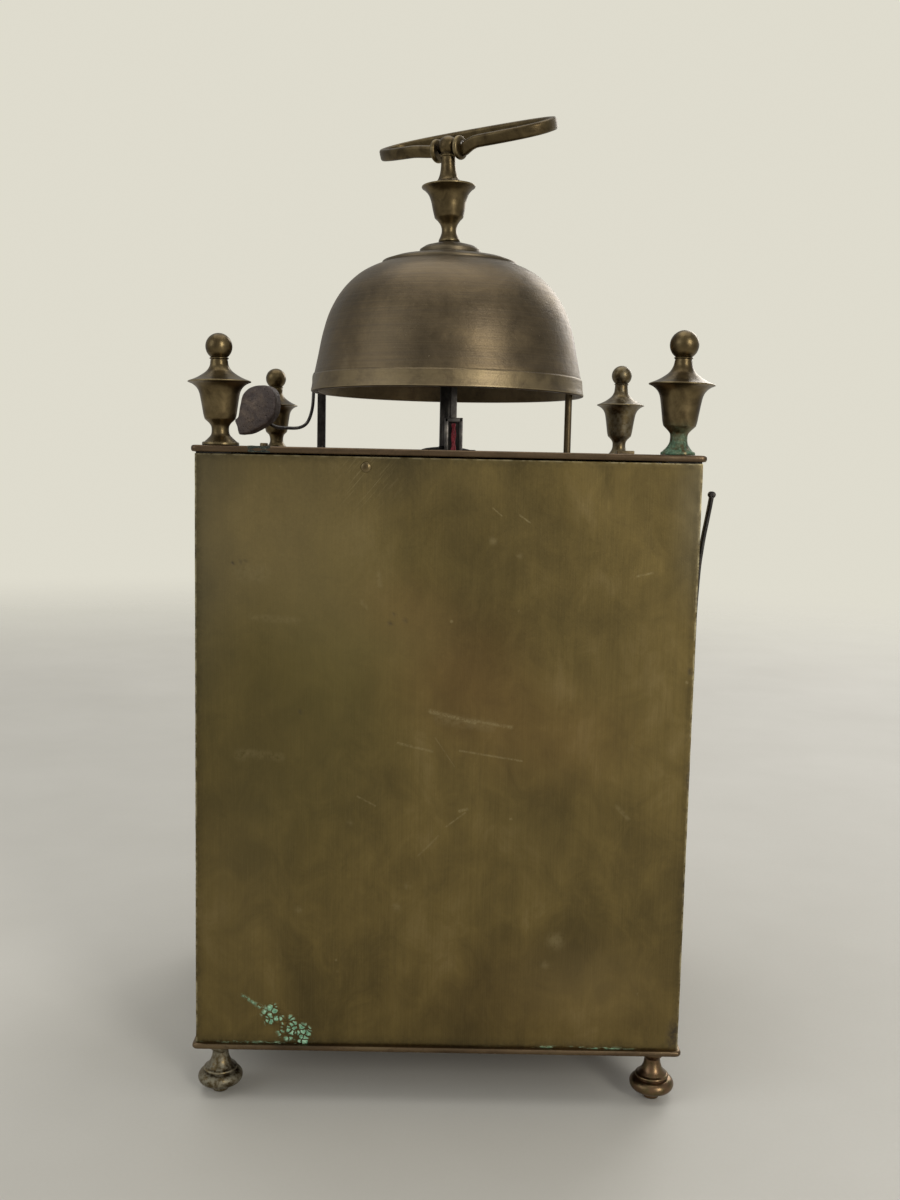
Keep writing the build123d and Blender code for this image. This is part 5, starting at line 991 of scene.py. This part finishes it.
X, Z = P[:, 0], P[:, 2]


def spots(rows):
    """Sum of soft oval patches: (x, z, half width, half height, strength)."""
    out = np.zeros(len(X))
    for x, z, rx, rz, k in rows:
        out += k * smooth(np.hypot((X - x) / rx, (Z - z) / rz), 1.0, 0.0)
    return np.clip(out, 0.0, 1.6)


def marks(rows):
    """Strongest of soft straight marks: (x1, z1, x2, z2, half width, strength)."""
    out = np.zeros(len(X))
    for ax, az, bx, bz, w, k in rows:
        h = np.clip(((X - ax) * (bx - ax) + (Z - az) * (bz - az)) / ((bx - ax) ** 2 + (bz - az) ** 2), 0.0, 1.0)
        d = np.hypot(X - ax - h * (bx - ax), Z - az - h * (bz - az))
        out = np.maximum(out, k * smooth(d, w, w * 0.2))
    return out


# in these layers "light" is a painted highlight and "warm" is a painted warm reflection
layers = {
    "light": spots([(42, 150, 40, 34, 1.0), (20, 128, 34, 20, 0.3), (52, 60, 20, 50, 0.2), (-38, 34, 30, 18, 0.35)]),
    "grey": spots([(66, 150, 22, 60, 0.75), (-64, 160, 10, 38, 0.8), (30, 170, 60, 20, 0.25)]),
    "olive": spots([(40, 110, 46, 75, 0.7), (20, 128, 40, 40, 0.5)]),
    "warm": spots([(-4, 116, 30, 26, 0.9), (12, 134, 22, 14, 0.65), (-26, 100, 34, 22, 0.6), (-30, 30, 60, 26, 0.35)]),
    "dark": spots([(44, 100, 20, 28, 0.65), (-10, 150, 40, 20, 0.6), (-38, 128, 28, 26, 0.4), (-26, 76, 22, 26, 0.55), (-2, 156, 6, 24, 0.45), (58, 60, 12, 50, 0.4)]),
    "hatch": spots([(20.5, 165.5, 12, 11, 1.3)]),
    "pale": np.clip(spots([(-11.5, 150.6, 1.5, 1.5, 1), (-18.4, 146.9, 1.2, 1.0, 0.9), (11.5, 54.1, 1.7, 1.6, 1), (8.6, 59.8, 1.4, 1.4, 0.8), (36.9, 52.8, 1.4, 1.4, 0.8),
                            (-30.6, 45.6, 3.6, 3.6, 0.9), (-28.0, 39.0, 1.8, 1.8, 0.7), (52.0, 94.0, 3.0, 2.4, 0.5), (-48.6, 97.8, 0.9, 0.9, 0.8), (23.8, 76.6, 1.0, 1.0, 0.7)])
                    + marks([(1.0, 104.6, -12.0, 102.8, 2.2, 0.5), (50.0, 94.6, 42.0, 93.6, 1.7, 0.4), (49.5, 130.0, 38.0, 129.2, 1.3, 0.45),
                             (52.5, 141.5, 47.0, 141.0, 3.6, 0.4), (17.3, 141.8, 17.0, 138.6, 0.8, 0.6), (21.5, 134.4, 20.4, 133.0, 0.8, 0.7), (-45.6, 82.0, -48.4, 79.0, 0.8, 0.6)]), 0, 1),
    "pit": np.clip(spots([(54.4, 143.7, 0.9, 0.8, 1), (52.4, 144.0, 0.9, 0.7, 0.9), (51.0, 144.2, 0.8, 0.7, 0.7), (14.3, 129.0, 1.2, 0.9, 0.8), (10.4, 129.9, 1.0, 0.8, 0.7),
                           (37.0, 105.6, 0.9, 0.9, 0.6), (13.4, 131.4, 0.9, 0.8, 0.6), (-63.0, 118.0, 1.2, 1.8, 0.8), (-62.6, 20.0, 2.6, 6.5, 1.2), (-64.0, 90.0, 1.2, 7.0, 1.0),
                           (-64.0, 60.0, 1.2, 5.0, 0.9), (-64.0, 137.0, 1.0, 5.0, 0.9), (-64.2, 152.0, 1.0, 4.0, 0.8), (64.2, 146.0, 0.9, 6.0, 0.6)]), 0, 1),
    "patch": np.clip(np.maximum(np.maximum(spots([(43.6, 23.8, 4.2, 4.8, 1)]), spots([(39.4, 20.6, 5.0, 5.4, 1)])), spots([(35.6, 18.6, 3.6, 4.4, 1)])), 0, 1),
    "seam": np.clip(spots([(-36, 16, 26, 30, 1.4), (48, 16, 20, 30, 1.2)]), 0, 1),
}
for key, val in layers.items():
    at = me.attributes.new(key, "FLOAT", "POINT")
    at.data.foreach_set("value", val.astype(np.float32))
swap(finish_mesh("back_sheet", me, M["back"], "clock_case", 40), "back_panel")

# screw in the back panel: low dome
prof = soften([(0, -3.9), (0.78, -3.9), (0.8, -3.7), (0.8, 0.0), (1.3, 0.0), (1.35, 0.12), (1.28, 0.4), (1.0, 0.62), (0.5, 0.74), (0, 0.76)], 0.08)
scr = revolve("panel_screw", prof, (20.9, YC, F + 152.6), (0, 1, 0), M["fin"], "clock_case", seg=40)
swap(scr, "back_panel_screw")

# ------------------------------------------------------------------ repeat lever: pivot boss, arms and the long strap with a small round tip
RPX, RPZ = -59.6, F + 99.5
strap_line = spl([(-64.92, 50.4, RPZ - 0.6), (-64.9, 50.4, RPZ + 6.0), (-64.95, 50.4, F + 117.0), (-65.2, 50.4, F + 124.0), (-65.5, 50.4, F + 129.3), (-65.85, 50.4, F + 132.6),
                  (-66.35, 50.4, F + 136.6), (-67.1, 50.4, F + 141.2), (-67.72, 50.4, F + 145.2), (-68.0, 50.4, F + 147.2)], 6)
swap(tube("repeat_strap", strap_line, 1.0, M["steel_post"], "repeat_lever", section=round_rect(0.95, 2.36, 0.3, 3), frame_up=(0, 1, 0), sharp=60), "repeat_lever")
tip = soften([(0, -1.18), (0.7, -1.18), (0.88, -1.0), (0.88, 1.0), (0.7, 1.18), (0, 1.18)], 0.12)
swap(revolve("repeat_tip", tip, (-68.0, 50.4, F + 147.4), (0, 1, 0), M["steel_post"], "repeat_lever", seg=32), "repeat_lever")
boss = soften([(0.86, -1.18), (2.2, -1.18), (2.29, -1.05), (2.29, 1.05), (2.2, 1.18), (0.86, 1.18)], 0.06)
swap(revolve("repeat_boss", boss, (RPX, 50.4, RPZ), (0, 1, 0), M["steel_post"], "repeat_lever", seg=40), "repeat_lever")
swap(slab("repeat_arm_out", -65.3, RPX - 1.4, 49.22, 51.58, RPZ - 1.15, RPZ + 1.15, M["steel_post"], "repeat_lever", 0.2, 2), "repeat_lever")
arm = tube("repeat_arm_in", [(RPX + 1.2, 50.4, RPZ - 0.2), (RPX + 7.0, 50.4, RPZ - 1.2), (RPX + 13.9, 50.4, RPZ - 2.25)], 1.0, M["steel_post"], "repeat_lever",
           section=round_rect(1.45, 2.36, 0.3, 3), frame_up=(0, 1, 0), sharp=60)
swap(arm, "repeat_lever")

# ------------------------------------------------------------------ top plate with softly worn edges
def rounded_outline(hx, hy, r, n=6):
    out = []
    for sx, sy, a in ((1, 1, 0), (-1, 1, 90), (-1, -1, 180), (1, -1, 270)):
        for k in range(n + 1):
            t = math.radians(a + 90 * k / n)
            out.append((sx * (hx - r) + r * math.cos(t), sy * (hy - r) + r * math.sin(t)))
    return out


def plate(name, hx, hy, z0, z1, r, edge, mat, holes=(), seed=0.0):
    """Sheet plate: rounded corners, rounded rim, straight sides split so that they can be a little uneven."""
    out = rounded_outline(hx, hy, r)
    dense = []
    for a, b in zip(out, out[1:] + out[:1]):
        n = max(1, int(math.dist(a, b) / 2.0))
        dense += [(a[0] + (b[0] - a[0]) * k / n, a[1] + (b[1] - a[1]) * k / n) for k in range(n)]
    bm = bmesh.new()
    h = z1 - z0
    rows = []
    for inset, z in ((edge * 1.6, z0), (edge * 0.5, z0 + edge * 0.25), (0.05, z0 + edge), (0.0, z0 + h * 0.5), (0.05, z1 - edge), (edge * 0.5, z1 - edge * 0.25), (edge * 1.6, z1)):
        row = []
        for x, y in dense:
            w = 0.12 * noise.noise(Vector((x * 0.06, y * 0.06, seed))) + 0.05 * noise.noise(Vector((x * 0.4, y * 0.4, seed + 3.0)))
            k = inset + abs(w)
            row.append(bm.verts.new((x - k * max(-1, min(1, x / (hx - r * 0.4))) ** 9, y - k * max(-1, min(1, y / (hy - r * 0.4))) ** 9, z)))
        rows.append(row)
    n = len(dense)
    for a, b in zip(rows, rows[1:]):
        for k in range(n):
            bm.faces.new((a[k], a[(k + 1) % n], b[(k + 1) % n], b[k]))
    bm.faces.new(rows[0])
    bm.faces.new(list(reversed(rows[-1])))
    o = from_bmesh(name, bm, mat, "clock_case", sharp=50)
    if holes:
        bm = bmesh.new()
        for x, y, hw, hd in holes:
            m4 = Matrix.Translation(Vector((x, y, (z0 + z1) / 2))) @ Matrix.Diagonal((hw, hd, (z1 - z0) * 3, 1))
            if hw == hd:
                bmesh.ops.create_cone(bm, cap_ends=True, segments=32, radius1=hw / 2, radius2=hw / 2, depth=(z1 - z0) * 3, matrix=Matrix.Translation(Vector((x, y, (z0 + z1) / 2))))
            else:
                bmesh.ops.create_cube(bm, size=1.0, matrix=m4)
        for v in bm.verts:
            v.co *= S
        me = bpy.data.meshes.new("cutter")
        bm.to_mesh(me)
        bm.free()
        cut = bpy.data.objects.new("cutter", me)
        bpy.context.scene.collection.objects.link(cut)
        mod = o.modifiers.new("holes", "BOOLEAN")
        mod.operation, mod.solver, mod.object = "DIFFERENCE", "EXACT", cut
        bpy.context.view_layer.update()
        new = bpy.data.meshes.new_from_object(o.evaluated_get(bpy.context.evaluated_depsgraph_get()))
        o.modifiers.clear()
        o.data = new
        bpy.data.objects.remove(cut)
    return o


tp = plate("top_sheet", 65.0, 58.5, TU, ZT, 1.6, 0.45, M["top"], holes=((PX, PY, 5.0, 3.0), (-35.4, 0.0, 2.4, 2.4), (40.0, -20.0, 3.0, 3.0)), seed=2.0)
swap(tp, "top_plate")
bp = plate("floor_sheet", 65.0, 58.5, FOOT_H, F, 1.4, 0.4, M["bottom"], seed=9.0)
swap(bp, "bottom_plate")

# repaired notch in the rear edge of the top plate, filled with dark solder
fill = slab("edge_repair", 44.9, 50.6, 57.2, 58.44, TU + 0.12, ZT + 0.03, M["solder"], "clock_case", 0.12, 2, cuts=5, jitter=0.10, seed=3.0)

# ------------------------------------------------------------------ door pins
prof = soften([(0, FOOT_H + 0.02), (0.86, FOOT_H + 0.02), (0.9, FOOT_H + 0.3), (0.9, ZT + 0.15), (1.25, ZT + 0.18), (1.35, ZT + 0.4), (1.35, ZT + 2.1), (1.15, ZT + 2.42), (0, ZT + 2.45)], 0.1)
swap(revolve("door_pin_left", prof, (61.95, -46.2, 0), (0, 0, 1), M["steel_brown"], "clock_case", seg=32), "door_pins")
prof = soften([(0, FOOT_H + 0.02), (0.86, FOOT_H + 0.02), (0.9, FOOT_H + 0.3), (0.9, ZT + 1.2), (0, ZT + 1.25)], 0.1)
swap(revolve("door_pin_right", prof, (-61.95, -46.2, 0), (0, 0, 1), M["steel_brown"], "clock_case", seg=32), "door_pins")
b = slab("door_pin_tail", -62.85, -56.85, -47.3, -45.1, ZT + 0.15, ZT + 2.44, M["steel_brown"], "clock_case", 0.35, 3)
swap(b, "door_pins")

# ------------------------------------------------------------------ side doors: sheet, rolled edge, inner rims, turned knob
for s, nm in ((1, "left"), (-1, "right")):
    body, node = "side_door_" + nm, "side_door_" + nm
    a, b = sorted((s * 62.5, s * 63.68))
    sh = slab("door_sheet_" + nm, a, b, -46.2, 48.08, F + 0.42, TU - 0.62, M["side"], body, 0.18, 2)
    swap(sh, node)
    prof = soften([(0.97, F + 0.45), (1.7, F + 0.45), (1.74, F + 0.6), (1.74, TU - 0.8), (1.7, TU - 0.65), (0.97, TU - 0.65)], 0.08)
    swap(revolve("door_roll_" + nm, prof, (s * 61.95, -46.2, 0), (0, 0, 1), M["side"], body, seg=40), node)
    a, b = sorted((s * 61.42, s * 62.58))
    for k, (y0, y1, za, zb) in enumerate(((-44, 46, F + 0.45, F + 5.35), (-44, 46, TU - 5.55, TU - 0.65), (42.62, 47.58, F + 0.45, TU - 0.65))):
        swap(slab("door_rim_%s_%d" % (nm, k), a, b, y0, y1, za, zb, M["side"], body, 0.15, 1), node)
    zm = (F + 0.4 + TU - 0.6) / 2
    prof = chain([(1.1, 0.0), (1.8, 0.02), (1.9, 0.25), (1.5, 0.5), (1.1, 0.8)], spl([(1.05, 1.4), (1.15, 2.2), (1.9, 2.95)], 5), spl([(2.35, 3.15), (2.6, 3.8), (2.55, 4.5), (2.0, 5.3), (1.0, 5.72), (0.0, 5.79)], 6))
    swap(revolve("door_knob_" + nm, prof, (s * 63.68, 24.0, zm), (s, 0, 0), M["fin"], body, seg=64), node)

# ------------------------------------------------------------------ dial: numerals, minute track, rings round the winding holes
def dial_y(r):
    """Depth of the enamel surface at radius r from the dial's middle."""
    (r1, y1), (r2, y2), (r3, y3) = (43.8, YF), (24.0, YF - 0.55), (3.6, YF - 0.72)
    l = (r - r2) * (r - r3) / ((r1 - r2) * (r1 - r3)) * y1 + (r - r1) * (r - r3) / ((r2 - r1) * (r2 - r3)) * y2 + (r - r1) * (r - r2) / ((r3 - r1) * (r3 - r2)) * y3
    return l - 0.05


class Ink:
    """Thin raised strips that lie on the domed dial."""

    def __init__(self):
        self.bm = bmesh.new()

    def quad(self, pts):
        vs = []
        for lift in (0.0, 0.09):
            vs.append([self.bm.verts.new((x, dial_y(math.hypot(x, z)) - lift, ARB_Z + z)) for x, z in pts])
        n = len(pts)
        self.bm.faces.new(vs[0])
        self.bm.faces.new(list(reversed(vs[1])))
        for k in range(n):
            self.bm.faces.new((vs[0][k], vs[0][(k + 1) % n], vs[1][(k + 1) % n], vs[1][k]))

    def ring(self, r0, r1, n=240):
        for k in range(n):
            a, b = 2 * math.pi * k / n, 2 * math.pi * (k + 1) / n
            self.quad([(r0 * math.cos(a), r0 * math.sin(a)), (r1 * math.cos(a), r1 * math.sin(a)), (r1 * math.cos(b), r1 * math.sin(b)), (r0 * math.cos(b), r0 * math.sin(b))])

    def bar(self, deg, u0, r0, u1, r1, w0, w1=None):
        """Bar in the slot at clock angle deg: u is sideways and r is the distance from the middle."""
        w1 = w0 if w1 is None else w1
        t = math.radians(90 - deg)
        ex, ez = (math.sin(t), -math.cos(t)), (math.cos(t), math.sin(t))
        n = 4
        d = Vector((u1 - u0, r1 - r0)).normalized()
        for k in range(n):
            f0, f1 = k / n, (k + 1) / n
            pts = []
            for f, sg in ((f0, 1), (f0, -1), (f1, -1), (f1, 1)):
                w = (w0 + (w1 - w0) * f) / 2 * sg
                u, r = u0 + (u1 - u0) * f + d.y * w, r0 + (r1 - r0) * f - d.x * w
                pts.append((ex[0] * u + ez[0] * r, ex[1] * u + ez[1] * r))
            self.quad(pts)

    def done(self, name, mat):
        o = from_bmesh(name, self.bm, mat, "clock_case", smooth=False)
        return o


ink = Ink()
ink.ring(42.3, 42.55)
ink.ring(40.5, 40.7)
for k in range(60):
    ink.bar(k * 6.0, 0.0, 40.7, 0.0, 42.3, 0.75 if k % 5 == 0 else 0.26)
romans = ["XII", "I", "II", "III", "IIII", "V", "VI", "VII", "VIII", "IX", "X", "XI"]
wide = {"I": 1.7, "V": 4.0, "X": 4.0}
for h, word in enumerate(romans):
    total = sum(wide[c] for c in word)
    u = -total / 2
    for c in word:
        m = u + wide[c] / 2
        r0, r1 = 30.6, 38.8
        if c == "I":
            ink.bar(h * 30.0, m, r0 + 0.25, m, r1 - 0.25, 0.95)
        elif c == "V":
            ink.bar(h * 30.0, m - 1.35, r1 - 0.25, m, r0 + 0.2, 1.0)
            ink.bar(h * 30.0, m + 1.35, r1 - 0.25, m, r0 + 0.2, 0.32)
        else:
            ink.bar(h * 30.0, m - 1.35, r1 - 0.25, m + 1.35, r0 + 0.25, 1.0)
            ink.bar(h * 30.0, m + 1.35, r1 - 0.25, m - 1.35, r0 + 0.25, 0.32)
        u += wide[c]
    ink.bar(h * 30.0, -total / 2, 38.7, total / 2, 38.7, 0.24)
    ink.bar(h * 30.0, -total / 2, 30.7, total / 2, 30.7, 0.24)
ink.done("dial_numerals", M["paint"])
for sx, nm in ((21.0, "left"), (-21.0, "right")):
    r = math.hypot(sx, 98.4 - ARB_Z)
    y = dial_y(r)
    prof = soften([(2.95, -0.2), (2.95, 0.30), (3.15, 0.42), (3.6, 0.36), (3.85, 0.1), (3.9, -0.3)], 0.1)
    revolve("winding_ring_" + nm, prof, (sx, y, 98.4), (0, -1, 0), M["fin"], "clock_case", seg=64)

# bezel with turned steps and its knuckle
prof = chain([(43.7, YC + 3.32), (43.65, YC + 3.55), (43.75, YC + 3.76)], [(44.2, YC + 3.79), (45.5, YC + 3.78)], spl([(45.9, YC + 3.66), (46.5, YC + 3.35), (47.2, YC + 3.0)], 5),
             [(47.35, YC + 2.85), (47.45, YC + 2.75)], spl([(47.7, YC + 2.8), (48.3, YC + 2.62), (49.1, YC + 1.9), (49.45, YC + 1.45)], 5), [(49.57, YC + 1.3), (49.58, YC + 0.25), (49.5, YC + 0.12), (44.42, YC + 0.12), (44.42, YC + 3.3), (43.7, YC + 3.32)])
bz = revolve("bezel_ring", soften(prof, 0.1), (0, 0, ARB_Z), (0, -1, 0), M["fin"], "bezel", seg=SEG * 2, reach=0.7)
swap(bz, "bezel")
prof = soften([(0.7, -2.98), (1.22, -2.98), (1.29, -2.85), (1.29, 2.85), (1.22, 2.98), (0.7, 2.98)], 0.06)
swap(revolve("bezel_knuckle", prof, (-51.75, -YC - 1.45, ARB_Z), (0, 0, 1), M["fin"], "bezel", seg=40), "bezel")
swap(slab("bezel_leaf", -51.1, -48.6, -YC - 1.62, -YC - 0.18, ARB_Z - 2.95, ARB_Z + 2.95, M["fin"], "bezel", 0.12, 1), "bezel")

# ------------------------------------------------------------------ floor, light
WALL = (0.735, 0.712, 0.615)
fm = Mat("floor_pale")
fn = fm.noise(fm.stretch(0.01, 0.01, 0.01), 1.0, 4.0, 0.6)
fine = fm.noise(fm.stretch(0.9, 0.9, 0.9), 1.0, 3.0, 0.6)
fm.set(Base_Color=fm.ramp(fn, [(0.3, (0.56, 0.545, 0.50)), (0.7, (0.60, 0.585, 0.54))]), Roughness=fm.rng(fine, 0.3, 0.7, 0.62, 0.78))
tr = fm.new("ShaderNodeBsdfTransparent")
mixs = fm.new("ShaderNodeMixShader")
far = fm.vm("LENGTH", fm.stretch(1.0, 1.0, 0.0))
fm.link(fm.rng(far, 520.0, 1500.0), mixs.inputs[0])
fm.link(fm.b.outputs[0], mixs.inputs[1])
fm.link(tr.outputs[0], mixs.inputs[2])
fm.link(mixs.outputs[0], [n for n in fm.nt.nodes if n.bl_idname == "ShaderNodeOutputMaterial"][0].inputs[0])
bm = bmesh.new()
bmesh.ops.create_circle(bm, cap_ends=True, radius=2000.0, segments=96)
me = bpy.data.meshes.new("floor")
for v in bm.verts:
    v.co *= S
bm.to_mesh(me)
bm.free()
me.materials.append(fm.m)
floor = bpy.data.objects.new("floor", me)
bpy.context.scene.collection.objects.link(floor)

world = bpy.data.worlds.new("world")
bpy.context.scene.world = world
world.use_nodes = True
wn = world.node_tree
wn.nodes.clear()
wo = wn.nodes.new("ShaderNodeOutputWorld")
bg = wn.nodes.new("ShaderNodeBackground")
bg2 = wn.nodes.new("ShaderNodeBackground")
lp = wn.nodes.new("ShaderNodeLightPath")
mx = wn.nodes.new("ShaderNodeMixShader")
bg.inputs[0].default_value = (0.98, 0.97, 0.92, 1)
bg.inputs[1].default_value = 0.42
bg2.inputs[0].default_value = (*WALL, 1)
bg2.inputs[1].default_value = 1.0
wn.links.new(lp.outputs["Is Camera Ray"], mx.inputs[0])
wn.links.new(bg.outputs[0], mx.inputs[1])
wn.links.new(bg2.outputs[0], mx.inputs[2])
wn.links.new(mx.outputs[0], wo.inputs[0])


def area(name, loc, target, sx, sy, power, color=(1, 1, 1)):
    d = bpy.data.lights.new(name, "AREA")
    d.shape, d.size, d.size_y, d.energy, d.color = "RECTANGLE", sx, sy, power, color
    o = bpy.data.objects.new(name, d)
    bpy.context.scene.collection.objects.link(o)
    o.location = loc
    o.rotation_euler = (Vector(target) - Vector(loc)).to_track_quat("-Z", "Y").to_euler()
    return o


area("window", (-0.85, 1.30, 0.62), (0, 0, 0.15), 0.40, 0.80, 9.0, (1.0, 0.97, 0.91))
area("fill_left", (1.5, 0.9, 0.9), (0, 0, 0.15), 1.2, 1.2, 5.0, (0.94, 0.97, 1.0))
area("overhead", (0.0, -0.2, 1.9), (0, 0, 0), 1.8, 1.8, 13.0, (1.0, 0.98, 0.95))
area("front_side", (-0.9, -1.5, 0.9), (0, 0, 0.15), 0.9, 0.9, 9.0, (1.0, 0.98, 0.95))
